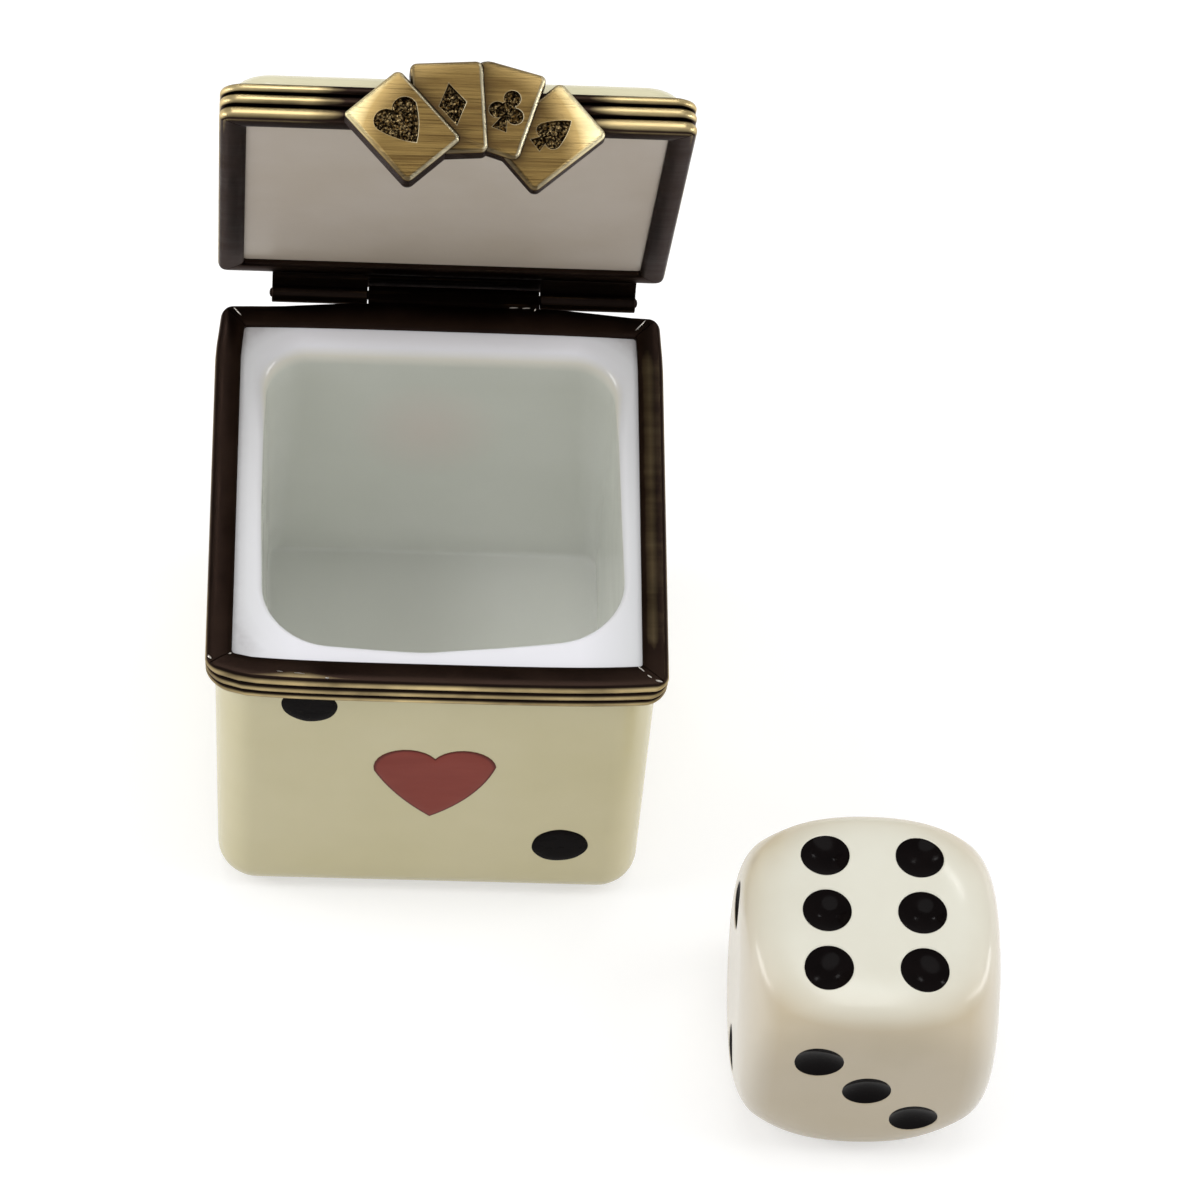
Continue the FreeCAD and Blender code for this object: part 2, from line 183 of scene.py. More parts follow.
# Drop and radius of the upper left and upper right corner of a card that is cast out of true
CARD_FLAWS = {"club": ((0.5, 1.6), (0.2, 0.6)), "heart": ((0.0, 0.4), (0.0, 0.7))}

# Outlines of the suits, as shares of their size. The heart has its notch, its tip, and the top, flank and
# belly of its right side; the club has the middles of its leaves; a spade's blade is a heart upside down
HEART = ((0, 0.36), (0, -0.5), (0.27, 0.5), (0.5, 0.22), (0.30, -0.16))
DIAMOND = ((0, 0.5), (0.31, 0), (0, -0.5), (-0.31, 0))
CLUB = ((0, 0.29), (-0.21, -0.08), (0.21, -0.08), (0, 0))
STEM = ((0, 0), (0.17, -0.5), (-0.17, -0.5))
CLUB_LEAF = 0.19
BLADE_WIDTH = 0.66
BLADE_HEIGHT = 0.80
BLADE_RAISE = 0.10
DISC_POINTS = 40

# Enamel and die
ENAMEL = 0.12
BRUSH_WAVES = ((2, 0.02), (3, 0.012), (7, 0.006))
PIP_RADIUS = 2.85
PIP_TRIM = 0.985
HEART_ASIDE = -0.35
CUT_PIP_LIMIT = 1.9
CUT_PIP_SHARE = 0.95
CUT_PIP_RAISE = 0.4
DIE_EDGE_RADIUS = 2.35
DIE_BALL_RADIUS = 16.7
DIE_BLUR = 2.64
DIE_PIP_RADIUS = 2.475
DIE_PIP_DEPTH = 0.75

LID_SEAM = SEAM + SEAM_GAP
LID_UNDERSIDE = LID_SEAM + FLANGE_THICKNESS
LID_TOP = SEAM + LID_HEIGHT
CLASP_BACK = -HALF_Y - CLASP_CLEARANCE
CORNER_STEPS = 12
SIDE_STEPS = 24
BAR_ROWS = 5


# Mesh helpers

def swing(points):
    """Closed-lid places swung to where the open lid holds them."""
    turn = np.array(Matrix.Rotation(OPENING, 3, Vector(joint("lid_hinge")["axis"])))
    return (np.asarray(points) - np.array(HINGE)) @ turn.T + np.array(HINGE)


def ease(number, start=0.0, span=1.0):
    """Smooth step from 0, at a start, to 1, a span further on."""
    share = np.clip((number - start) / span, 0, 1)
    return share * share * (3 - 2 * share)


def shaped(points):
    """Places on a true base moved to where the hand-made one has them."""
    x, y, z = np.array(points, float).T
    rise = np.clip(z / RIM, 0, 1)
    across, along = x / HALF_X, y / HALF_Y
    straight = np.clip(np.abs(across), 0, 1) ** 4
    bow = FRONT_BOW * (1 - straight) * ease(-along, *BOW_SPAN)
    bow -= BACK_BOW * (1 - straight) * ease(along, *BOW_SPAN)
    by_hinge = np.clip((BULGE_HALF - np.abs(x - HINGE.x)) / BULGE_FADE, 0, 1) * (z > BEZEL_LOW.z)
    bow -= HINGE_BULGE * by_hinge * ease(along, *BULGE_SPAN)
    bow -= LEFT_CORNER_PULL * ease(-across, *LEFT_CORNER_SPAN) * ease(-along, *LEFT_FRONT_SPAN)
    pull = np.where(across < 0, BACK_LEFT_PULL, BACK_RIGHT_PULL) * ease(along, *BACK_CORNER_SPAN)
    draft = 1 - DRAFT / BODY_X * (1 - rise)
    moved_x = across * (HALF_X * draft - pull * rise ** 2) + SKEW * (1 - rise)
    moved_y = y * draft - bow * rise ** 2
    return np.column_stack([moved_x, moved_y, z])


def new_mesh(name, points, faces):
    """Mesh in metres, with its faces turned outwards."""
    mesh = bpy.data.meshes.new(name)
    mesh.from_pydata((np.asarray(points) * MM).tolist(), [], [list(map(int, face)) for face in faces])
    shape = bmesh.new()
    shape.from_mesh(mesh)
    bmesh.ops.recalc_face_normals(shape, faces=shape.faces)
    shape.to_mesh(mesh)
    shape.free()
    return mesh


def new_object(name, data):
    """Object in the scene."""
    made = bpy.data.objects.new(name, data)
    bpy.context.scene.collection.objects.link(made)
    return made


def add_piece(name, nodes, body, points, faces, materials, picks=None, values=None, sharp=30):
    """Closed mesh that stands for CAD nodes and rides on their body; values are numbers per point."""
    mesh = new_mesh(name, points, faces)
    for material in materials:
        mesh.materials.append(material)
    if picks is not None:
        mesh.polygons.foreach_set("material_index", picks)
    for key, numbers in (values or {}).items():
        numbers = np.asarray(numbers, np.float32)
        mesh.attributes.new(key, "FLOAT", "POINT").data.foreach_set("value", numbers)
    mesh.shade_smooth()
    mesh.set_sharp_from_angle(angle=math.radians(sharp))
    piece = new_object(name, mesh)
    if nodes:
        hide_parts(*nodes)
    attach(piece, body)
    return piece


def ring(half_x, half_y, radii, z, middle=(0, 0)):
    """Points round a level rectangle with round corners, anticlockwise from the right side's end."""
    arcs = []
    signs = ((1, 1), (-1, 1), (-1, -1), (1, -1))
    for quarter, ((sx, sy), radius) in enumerate(zip(signs, np.broadcast_to(radii, 4))):
        turns = np.radians(90 * quarter + np.linspace(0, 90, CORNER_STEPS + 1))
        bend = np.array(middle) + (sx * (half_x - radius), sy * (half_y - radius))
        arcs.append(bend + radius * ways(turns))
    rows = []
    for arc, after in zip(arcs, arcs[1:] + arcs[:1]):
        shares = np.linspace(0, 1, SIDE_STEPS + 1)[1:-1, None]
        rows += [arc, arc[-1] * (1 - shares) + after[0] * shares]
    flat = np.concatenate(rows)
    return np.column_stack([flat, np.full(len(flat), z)])


RING_POINTS = 4 * (CORNER_STEPS + SIDE_STEPS)
MITRES = [q * (CORNER_STEPS + SIDE_STEPS) + CORNER_STEPS // 2 for q in range(4)]
# Place of the face over an open loft's first row; the one over its last row comes after it
FIRST_END = -2


def loft_faces(rows, count, closed):
    """Quads between rows of points; an open loft gets a face over each end."""
    faces = []
    for row in range(rows if closed else rows - 1):
        low, high = row * count, (row + 1) % rows * count
        faces += [(low + k, low + (k + 1) % count, high + (k + 1) % count, high + k) for k in range(count)]
    if not closed:
        faces += [tuple(range(count))[::-1], tuple(range((rows - 1) * count, rows * count))]
    return faces


def quarter_turn(steps):
    """Sine and cosine pairs over a quarter turn."""
    turns = np.linspace(0, math.pi / 2, steps + 1)
    return list(zip(np.sin(turns), np.cos(turns)))


def bar(half, middle, outline):
    """Points and faces of an outline drawn along the box, half of it to each side of a middle."""
    points = [(middle + x, y, z) for x in np.linspace(-half, half, BAR_ROWS) for y, z in outline]
    return np.array(points), loft_faces(BAR_ROWS, len(outline), closed=False)


def full_turn(count):
    """Angles evenly round a circle."""
    return np.linspace(0, 2 * math.pi, count + 1)[:-1]


def ways(turns):
    """Unit vectors at angles."""
    return np.stack([np.cos(turns), np.sin(turns)], 1)


def joined(parts):
    """One set of points, faces and numbers from several."""
    points, faces, numbers, first = [], [], [], 0
    for more_points, more_faces, more_numbers in parts:
        points.append(more_points)
        faces += [tuple(first + k for k in face) for face in more_faces]
        numbers.append(more_numbers)
        first += len(more_points)
    return np.concatenate(points), faces, np.concatenate(numbers)


# Materials

# Parts of a noise's range that a look is spread over
BROAD = (0.3, 0.7)
NARROW = (0.35, 0.65)


def srgb(red, green, blue):
    """Linear colour of a screen colour given from 0 to 255."""
    shares = [c / 255 for c in (red, green, blue)]
    return tuple(s / 12.92 if s <= 0.04045 else ((s + 0.055) / 1.055) ** 2.4 for s in shares) + (1.0,)


class Finish:
    """Material in the making: a principled shader, its constants, and the nodes that feed it."""

    def __init__(self, name, **sockets):
        self.material = bpy.data.materials.new(name)
        self.material.use_nodes = True
        self.tree = self.material.node_tree
        self.shader = self.tree.nodes["Principled BSDF"]
        for socket, constant in sockets.items():
            self.shader.inputs[socket.replace("_", " ")].default_value = constant

    def node(self, kind, inputs=None, **settings):
        """Node with its settings, and with its inputs linked or set."""
        node = self.tree.nodes.new("ShaderNode" + kind)
        for key, setting in settings.items():
            setattr(node, key, setting)
        for key, source in (inputs or {}).items():
            if isinstance(source, bpy.types.NodeSocket):
                self.tree.links.new(source, node.inputs[key])
            else:
                node.inputs[key].default_value = source
        return node

    def feed(self, socket, source):
        """Links an output to a socket of the shader."""
        self.tree.links.new(source, self.shader.inputs[socket])

    def place(self, stretch=(1, 1, 1)):
        """Object coordinates, stretched."""
        coordinates = self.node("TexCoord").outputs["Object"]
        return self.node("Mapping", {"Vector": coordinates, "Scale": stretch}).outputs[0]

    def cloud(self, scale, detail=3.0, stretch=(1, 1, 1)):
        """Noise from 0 to 1."""
        sockets = {"Vector": self.place(stretch), "Scale": scale, "Detail": detail}
        return self.node("TexNoise", sockets).outputs["Fac"]

    def number(self, name):
        """Number kept on the mesh's points."""
        return self.node("Attribute", attribute_name=name).outputs["Fac"]

    def spread(self, source, low, high, to_low=0.0, to_high=1.0):
        """Maps a range of numbers onto another, held at its ends."""
        sockets = {"Value": source, "From Min": low, "From Max": high, "To Min": to_low, "To Max": to_high}
        return self.node("MapRange", sockets).outputs[0]

    def between(self, axis, start, end):
        """Share of the way from one place to another along an axis, in millimetres."""
        return self.spread(axis, start * MM, end * MM)

    def blend(self, share, *colors):
        """Mix of two colours, each an output or a screen colour."""
        first, second = (c if isinstance(c, bpy.types.NodeSocket) else srgb(*c) for c in colors)
        return self.node("Mix", {0: share, 6: first, 7: second}, data_type="RGBA").outputs[2]

    def sums(self, operation, first, second=0.0):
        """Arithmetic on numbers."""
        return self.node("Math", {0: first, 1: second}, operation=operation).outputs[0]

    def nearness(self, spot, reach):
        """1 at a spot given in millimetres, falling to 0 at a distance."""
        sockets = {0: self.place(), 1: [c * MM for c in spot]}
        away = self.node("VectorMath", sockets, operation="DISTANCE").outputs["Value"]
        return self.between(away, reach, 0.0)

    def relief(self, height, strength, distance):
        """Bump from a height."""
        bump = self.node("Bump", {"Height": height, "Strength": strength, "Distance": distance})
        self.feed("Normal", bump.outputs[0])


def cream_glaze(name, low, high):
    """Outside of the porcelain: cream ground, between two tones, under a clear glaze."""
    look = Finish(name, Roughness=0.22, IOR=1.5)
    look.feed("Base Color", look.blend(look.spread(look.cloud(70.0), *NARROW), low, high))
    look.relief(look.cloud(160.0, 1.0), 0.06, 0.002)
    return look.material


# Places in the cavity that its tones and its painted light and shade change between, in millimetres, and a
# pink spot on its back wall
CAVITY_LIGHT_RANGE = (RIM - 5.0, FLOOR + 4.0)
FLOOR_RANGE = (FLOOR + 0.5, FLOOR)
FLOOR_SHADOW_RANGE = (-10.0, 14.0)
LIP_RANGE = (RIM - 0.9, RIM - 1.9)
RIM_RANGE = (RIM - 0.25, RIM - 0.9)
RIM_SHADE_RANGE = (13.5, 18.5)
PINK_SPOT = (-0.7, 15.3, 26.8)
PINK_REACH = 8.0
PINK_SHARE = 0.5


def white_glaze():
    """Inside of the porcelain: white rim, beige lip and a grey-green cavity, with painted light and shade:
    the rim darker towards its sides, the cavity darker near the rim and lighter deep down, and its floor
    darker at the left as painted shadow; the rim is also darker by the flange at the left and the back.
    """
    look = Finish("white_glaze", Roughness=0.14, IOR=1.5)
    across, _, height = look.node("SeparateXYZ", {0: look.place()}).outputs
    tone = look.spread(look.cloud(60.0), *BROAD)
    # Painted light: the cavity is painted darker near the rim and lighter deep down, to even out the shade
    # inside it; its grey-green is the glaze's own tone.
    high = look.blend(tone, (213, 215, 206), (218, 220, 212))
    lit_deep = look.blend(tone, (240, 242, 236), (246, 247, 243))
    # Painted shadow: the cavity's floor is darker at the left, as if shaded by the left wall.
    left = look.blend(tone, (214, 216, 209), (218, 220, 214))
    right = look.blend(tone, (244, 246, 240), (248, 249, 245))
    floor = look.blend(look.between(across, *FLOOR_SHADOW_RANGE), left, right)
    cavity_tint_and_light = look.blend(look.between(height, *CAVITY_LIGHT_RANGE), high, lit_deep)
    cavity_tint_and_light = look.blend(look.between(height, *FLOOR_RANGE), cavity_tint_and_light, floor)
    pink = look.sums("MULTIPLY", look.nearness(PINK_SPOT, PINK_REACH), PINK_SHARE)
    cavity_tint_and_light = look.blend(pink, cavity_tint_and_light, (234, 212, 206))
    lip = look.blend(look.between(height, *LIP_RANGE), (222, 219, 208), cavity_tint_and_light)
    # Painted shade: the rim is lighter in the middle and darker towards its sides.
    aside = look.between(look.sums("ABSOLUTE", across), *RIM_SHADE_RANGE)
    rim = look.blend(aside, (231, 231, 236), (214, 215, 217))
    color = look.blend(look.between(height, *RIM_RANGE), rim, lip)
    # Mottled darkening of the rim by the flange at the left and the back.
    mottle = look.spread(look.cloud(1400.0), *NARROW, 0.7, 1.0)
    flange_darkening = look.sums("MULTIPLY", look.number("flange_darkening"), mottle)
    look.feed("Base Color", look.blend(flange_darkening, color, (150, 144, 146)))
    look.relief(look.cloud(130.0, 1.0), 0.08, 0.002)
    return look.material


def bare_underside():
    """Underside of the lid: a flat, pale grey-beige ground."""
    look = Finish("lid_underside", Roughness=0.35, IOR=1.5)
    tone = look.spread(look.cloud(110.0), *NARROW)
    look.feed("Base Color", look.blend(tone, (208, 194, 178), (213, 200, 186)))
    look.relief(look.cloud(700.0), 0.05, 0.0004)
    return look.material


EDGE_TINT = (0.60, 0.58, 0.58, 1)


def bezel_bronze():
    """Antiqued bronze: gold where it is rubbed, near black in the grooves and on the flange. The rub number
    also holds painted light: a brown sheen on the base's right flange as a painted reflection, and painted
    shadow of the fan on the lid.
    """
    look = Finish("bezel_bronze", Metallic=1.0, Specular_Tint=EDGE_TINT)
    streaks = look.cloud(1.0, 4.0, (60, 900, 900))
    patches = look.cloud(220.0, 4.0)
    rub_and_light = look.number("rub_and_light")
    blotches = look.spread(patches, *BROAD, -0.16, 0.16)
    uneven = look.sums("ADD", blotches, look.spread(streaks, *BROAD, -0.1, 0.1))
    uneven = look.sums("MULTIPLY", uneven, look.spread(rub_and_light, 0.3, 0.6, 0.12, 1.0))
    dark = look.blend(patches, (34, 25, 22), (56, 43, 36))
    gold = look.blend(streaks, (204, 178, 122), (242, 221, 168))
    gold_share = look.spread(look.sums("ADD", rub_and_light, uneven), 0.25, 0.9)
    look.feed("Base Color", look.blend(gold_share, dark, gold))
    look.feed("Roughness", look.spread(patches, *BROAD, 0.28, 0.44))
    look.relief(streaks, 0.10, 0.0002)
    return look.material


def hinge_bronze():
    """Dark bronze drawn lengthwise, with a few rubbed lines."""
    look = Finish("hinge_bronze", Metallic=1.0, Specular_Tint=EDGE_TINT)
    lines = look.cloud(1.0, 4.0, (35, 2200, 2200))
    patches = look.cloud(260.0, 4.0)
    brightened = look.sums("MULTIPLY", look.spread(lines, 0.55, 0.75), look.spread(patches, 0.4, 0.6))
    dark = look.blend(patches, (28, 21, 19), (48, 38, 33))
    look.feed("Base Color", look.blend(brightened, dark, (104, 82, 56)))
    look.feed("Roughness", look.spread(lines, *BROAD, 0.3, 0.5))
    look.relief(lines, 0.35, 0.0002)
    return look.material


def clasp_brass():
    """Brass brushed across the fan, with painted highlights at its ends and edges, dark on its sides and in
    the suits.
    """
    look = Finish("clasp_brass", Metallic=1.0, Specular_Tint=EDGE_TINT)
    fine = look.cloud(1.0, 5.0, (90, 5200, 5200))
    broad = look.cloud(1.0, 3.0, (45, 700, 700))
    patches = look.cloud(420.0, 3.0)
    brushed = look.sums("ADD", look.sums("MULTIPLY", fine, 0.6), look.sums("MULTIPLY", broad, 0.4))
    color = look.blend(look.spread(brushed, 0.38, 0.62), (80, 62, 34), (124, 102, 60))
    painted_highlight = look.number("painted_highlight")
    # Painted highlight: paler, then near white, towards the ends of the fan.
    color = look.blend(look.spread(painted_highlight, 0.04, 0.62), color, (190, 162, 106))
    color = look.blend(look.spread(painted_highlight, 0.45, 1.0), color, (255, 242, 190))
    color = look.blend(look.number("shade"), color, (46, 34, 22))
    # Painted highlight where the rub number is high: on rubbed and right-facing edges of the cards.
    brightened = look.sums("MULTIPLY", look.number("rub_and_light"), look.spread(patches, 0.25, 0.6, 0.6, 1.0))
    color = look.blend(brightened, color, (250, 240, 205))
    grain = look.cloud(4200.0, 2.0)
    pitted = look.blend(look.spread(grain, 0.46, 0.60), (44, 33, 22), (182, 158, 112))
    color = look.blend(look.number("sunk"), color, pitted)
    look.feed("Base Color", look.blend(look.number("side"), color, (40, 25, 17)))
    look.feed("Roughness", look.spread(brushed, *BROAD, 0.26, 0.40))
    look.relief(fine, 0.30, 0.0002)
    return look.material


def solder_silver():
    """Bright drops of solder."""
    look = Finish("solder_silver", Metallic=1.0)
    tone = look.cloud(1500.0)
    look.feed("Base Color", look.blend(tone, (196, 188, 176), (240, 236, 228)))
    look.feed("Roughness", look.spread(tone, *BROAD, 0.25, 0.45))
    look.relief(tone, 0.3, 0.0002)
    return look.material


def black_enamel(name, roughness, gloss):
    """Black paint with a faint brush mark."""
    look = Finish(name, IOR=1.5, Specular_IOR_Level=gloss)
    strokes = look.cloud(1.0, stretch=(500, 500, 900))
    look.feed("Base Color", look.blend(strokes, (8, 6, 6), (18, 13, 13)))
    look.feed("Roughness", look.spread(strokes, *BROAD, roughness, roughness + 0.1))
    look.relief(strokes, 0.12, 0.0002)
    return look.material


def red_enamel():
    """Brick red paint in broad strokes, dark along its outline."""
    look = Finish("red_enamel", Roughness=0.3, IOR=1.5, Specular_IOR_Level=0.08)
    strokes = look.cloud(1.0, 4.0, (120, 120, 420))
    wash = look.blend(look.spread(strokes, *BROAD), (135, 58, 48), (148, 68, 57))
    edge = look.spread(look.number("reach"), 0.94, 0.985)
    look.feed("Base Color", look.blend(edge, wash, (96, 40, 34)))
    look.relief(strokes, 0.15, 0.0002)
    return look.material


# Distances from the die's middle and heights over which its painted light and shade change
DIE_LIT_SIDE_RANGE = (9.0, 12.0)
DIE_LIT_TOP_RANGE = (22.8, 24.9)


def die_ivory():
    """Polished ivory resin with faint clouds and a few dark specks. Painted light and shade make it whiter
    on top and lighter at its left and right than on its front, which is painted darker and warmer.
    """
    look = Finish("die_ivory", Roughness=0.2, IOR=1.49)
    tone = look.spread(look.cloud(90.0), *NARROW)
    across, _, height = look.node("SeparateXYZ", {0: look.place()}).outputs
    aside = look.sums("ABSOLUTE", look.sums("SUBTRACT", across, DIE_MIDDLE[0] * MM))
    # Painted shade on the sides, painted lighter towards the left and right faces, and a painted lit top.
    side = look.blend(tone, (202, 188, 160), (207, 193, 167))
    side = look.blend(look.between(aside, *DIE_LIT_SIDE_RANGE), side, (220, 212, 196))
    top = look.blend(tone, (216, 213, 198), (221, 219, 205))
    color = look.blend(look.between(height, *DIE_LIT_TOP_RANGE), side, top)
    cells = look.node("TexVoronoi", {"Vector": look.place(), "Scale": 150.0}).outputs
    near = look.spread(cells["Distance"], 0.035, 0.02)
    few = look.spread(look.node("SeparateColor", {0: cells["Color"]}).outputs[0], 0.80, 0.82)
    look.feed("Base Color", look.blend(look.sums("MULTIPLY", near, few), color, (112, 92, 76)))
    look.relief(look.cloud(240.0, 2.0), 0.05, 0.001)
    return look.material


# Porcelain

FOOT_STEPS = 8
WALL_STEPS = 16
EDGE_STEPS = 10
CAVITY_STEPS = 12
# Rings on the rim, as shares of the way in from the outside, and how much darker each is by the flange
RIM_SHARES = (0.0, 0.45, 0.6, 0.8)
FLANGE_DARKENING = (0.6, 0.5, 0.2, 0.0)
LEFT_DARKENING = 0.8
DARKENING_LEFT_SPAN = (16.5, 1.5)
DARKENING_BACK_SPAN = (15.5, 2.0)


def mouth(level):
    """Ring of the cavity, bowed at the front and leaning at its sides."""
    x, y, z = level.T
    bow = MOUTH_BOW * (x / MOUTH_HALF) ** 2 + MOUTH_TURN * np.maximum(x - MOUTH_TURN_FROM, 0)
    right = ease(x, *LEAN_ACROSS_SPAN) * np.clip(-y / MOUTH_HALF, -1, 1)
    left = ease(-x, *LEAN_ACROSS_SPAN) * ease(-y, *LEAN_FRONT_SPAN)
    return np.column_stack([x + MOUTH_LEAN * (right + left), y + bow * ease(-y, *MOUTH_FRONT_SPAN), z])


def cavity_ring(radii, out):
    """Ring some way outside the cavity's wall, at the height of the rim."""
    half_x, half_y = BODY_X - WALL + out, BODY_Y - WALL + out
    return mouth(ring(half_x, half_y, radii + out, RIM, CAVITY_MIDDLE))


def cup_rows():
    """Rings of the cup, from the foot up the outside, over the rim and down to the cavity's floor.

    The lip is crisp at the front and the sides and soft at the back. The number is of rings outside.
    """
    rows = []
    for sine, cosine in quarter_turn(FOOT_STEPS):
        inset = FOOT_RADIUS * (1 - sine)
        rows.append(ring(BODY_X - inset, BODY_Y - inset, CORNER_RADIUS - inset, FOOT_RADIUS * (1 - cosine)))
    levels = np.linspace(FOOT_RADIUS, RIM, WALL_STEPS + 1)[1:]
    rows += [ring(BODY_X, BODY_Y, CORNER_RADIUS, z) for z in levels]
    outside = len(rows)
    wall, low_wall = cavity_ring(CAVITY_CORNERS, 0.0), cavity_ring(FLOOR_CORNERS, 0.0)
    away, low_away = cavity_ring(CAVITY_CORNERS, 1.0) - wall, cavity_ring(FLOOR_CORNERS, 1.0) - low_wall
    back = ease(wall[:, 1:2], *SOFT_LIP_SPAN)
    shift = np.array([0.0, BACK_SHIFT, 0.0]) * back
    wall, low_wall = wall + away * MOUTH_GROWTH * (1 - back) + shift, low_wall + shift
    lip = SIDE_LIP + (BACK_LIP - SIDE_LIP) * back
    down, depth = np.array([0.0, 0.0, -1.0]), RIM - FLOOR - CAVITY_FILLET
    rows += [rows[-1] * (1 - share) + (wall + away * lip) * share for share in RIM_SHARES]
    for sine, cosine in quarter_turn(EDGE_STEPS):
        rows.append(wall + away * lip * (1 - sine) + down * lip * (1 - cosine))
    for share in np.linspace(0, 1, CAVITY_STEPS + 1)[1:-1]:
        rows.append(wall * (1 - share) + low_wall * share + down * (lip * (1 - share) + depth * share))
    for sine, cosine in quarter_turn(EDGE_STEPS):
        inward = low_away * CAVITY_FILLET * (1 - cosine)
        rows.append(low_wall - inward + down * (depth + CAVITY_FILLET * sine))
    return rows, outside


def make_cup():
    """Porcelain cup, cream outside and white inside, darker by the flange at the left and the back."""
    rows, outside = cup_rows()
    points = np.concatenate(rows)
    flange_darkening = np.zeros(len(rows))
    flange_darkening[outside:outside + len(FLANGE_DARKENING)] = FLANGE_DARKENING
    left, back = ease(-points[:, 0], *DARKENING_LEFT_SPAN), ease(points[:, 1], *DARKENING_BACK_SPAN)
    flange_darkening = np.repeat(flange_darkening, RING_POINTS) * np.maximum(left * LEFT_DARKENING, back)
    faces = loft_faces(len(rows), RING_POINTS, closed=False)
    picks = [int(k >= (outside - 1) * RING_POINTS) for k in range(len(faces))]
    picks[FIRST_END] = 0
    add_piece("porcelain_cup", ["porcelain_base"], "box", shaped(points), faces,
              [cream_glaze("cream_glaze", (214, 204, 158), (219, 209, 166)), white_glaze()], picks,
              {"flange_darkening": flange_darkening})


def make_lid():
    """Porcelain lid with a soft top edge and a bare underside."""
    rows = [(0, CORNER_RADIUS, LID_UNDERSIDE), (0, CORNER_RADIUS, LID_TOP - LID_EDGE_RADIUS)]
    for sine, cosine in quarter_turn(EDGE_STEPS)[1:]:
        inset = LID_EDGE_RADIUS * (1 - cosine)
        rows.append((inset, CORNER_RADIUS - inset, LID_TOP - LID_EDGE_RADIUS * (1 - sine)))
    points = np.concatenate([ring(BODY_X - i, BODY_Y - i, r, z) for i, r, z in rows])
    faces = loft_faces(len(rows), RING_POINTS, closed=False)
    picks = [0] * len(faces)
    picks[FIRST_END] = 1
    add_piece("porcelain_cover", ["porcelain_lid"], "lid", swing(points), faces,
              [cream_glaze("lid_cream", (217, 211, 176), (222, 216, 184)), bare_underside()], picks)


# Bezels

REED_STEPS = 14
REED_RUB_FALL = 1.5
REED_RUB_POWER = 2.5
GROOVE_SHARE = 0.2
# Section of the flange: inset from the crests, distance from the seam and rub
FLANGE = ((0.42, 0.07, 0.42), (0.62, 0.02, 0.30), (0.95, 0.0, 0.12), (1.45, 0.0, 0.08),
          (1.95, 0.03, 0.12), (2.3, 0.10, 0.16), (FLANGE_WIDTH, 0.24, 0.05))

# Wear and painted light: the share of the rub at the sides and what the front adds, the dark behind the fan
# (painted shadow of the fan, where the reeds are also less worn), the scuff on the base's front flange and
# the sheen on its right one (a painted reflection)
LID_RUB = (0.62, 0.38)
BASE_RUB = (0.47, 0.11)
FRONT_SPAN = (0.8, 0.15)
FAN_DARK = 0.8
FAN_MIDDLE = 0.75
FAN_HALF = 14.0
FAN_FADE = 2.5
SCUFF = 0.2
SCUFF_MIDDLE = -13.0
SCUFF_REACH = 3.2
SCUFF_INSETS = (0.4, 1.3)
SHEEN = 0.295
SHEEN_SPAN = (0.8, 0.1)
SHEEN_FADE = 6.0
SHEEN_INSET = 1.5
SHEEN_REACH = 0.9


def bezel_profile():
    """Section of a bezel: inset from the crests, distance from the seam, corner radius and rub."""
    rows = []
    for reed in reversed(range(len(REED_SHARES))):
        start, pitch = BAND * sum(REED_SHARES[:reed]), BAND * REED_SHARES[reed]
        bow = (pitch ** 2 / 4 + REED_RISE ** 2) / (2 * REED_RISE)
        for share in np.linspace(1, -1, REED_STEPS + 1)[:-1]:
            rise = math.sqrt(bow ** 2 - (share * pitch / 2) ** 2) - (bow - REED_RISE)
            by_groove = reed > 0 or share > 0
            groove = GROOVE_DEPTH * max(0.0, 1 - (1 - abs(share)) / GROOVE_SHARE) * by_groove
            inset, from_seam = REED_RISE - rise + groove, start + pitch * (1 + share) / 2
            corner = REED_CORNER + REED_CORNER_GROWTH * from_seam
            rub_and_light = 1 - REED_RUB_FALL * abs(share) ** REED_RUB_POWER
            rows.append((inset, from_seam, corner - inset, rub_and_light))
    for inset, from_seam, rub_and_light in FLANGE:
        rows.append((inset, from_seam, max(FLANGE_CORNER + REED_RISE - inset, WINDOW_CORNER), rub_and_light))
    rows.append((FLANGE_WIDTH, FLANGE_THICKNESS, WINDOW_CORNER, 0.0))
    seat = HALF_X - BODY_X - CEMENT_GAP
    rows.append((seat, FLANGE_THICKNESS, CORNER_RADIUS + CEMENT_GAP, 0.0))
    rows.append((seat, BAND, CORNER_RADIUS + CEMENT_GAP, 0.0))
    return rows


def wear_and_light(level, inset, rub_and_light, on_lid):
    """Rub round one ring: less at the sides and the back, with a scuff on the base. It also holds painted
    light: a brown sheen on the base, which is a painted reflection, and the fan's painted shadow on the
    lid.
    """
    x, y = level[:, 0], level[:, 1]
    front = ease(-y / HALF_Y, *FRONT_SPAN)
    side_rub, front_rub = LID_RUB if on_lid else BASE_RUB
    gold_share = rub_and_light * (side_rub + front_rub * front)
    if on_lid:
        # Painted shadow of the fan on the lid's front reeds, which are also less worn there.
        return gold_share * (1 - FAN_DARK * front * ease((FAN_HALF - np.abs(x - FAN_MIDDLE)) / FAN_FADE))
    low, high = SCUFF_INSETS
    scuff = SCUFF * front * np.exp(-((x - SCUFF_MIDDLE) / SCUFF_REACH) ** 2) * float(low < inset < high)
    # Brown sheen on the base's right flange: a painted reflection.
    sheen = SHEEN * ease(x / HALF_X, *SHEEN_SPAN) * ease((HALF_Y - np.abs(y)) / SHEEN_FADE)
    return gold_share + scuff + sheen * math.exp(-((inset - SHEEN_INSET) / SHEEN_REACH) ** 2)


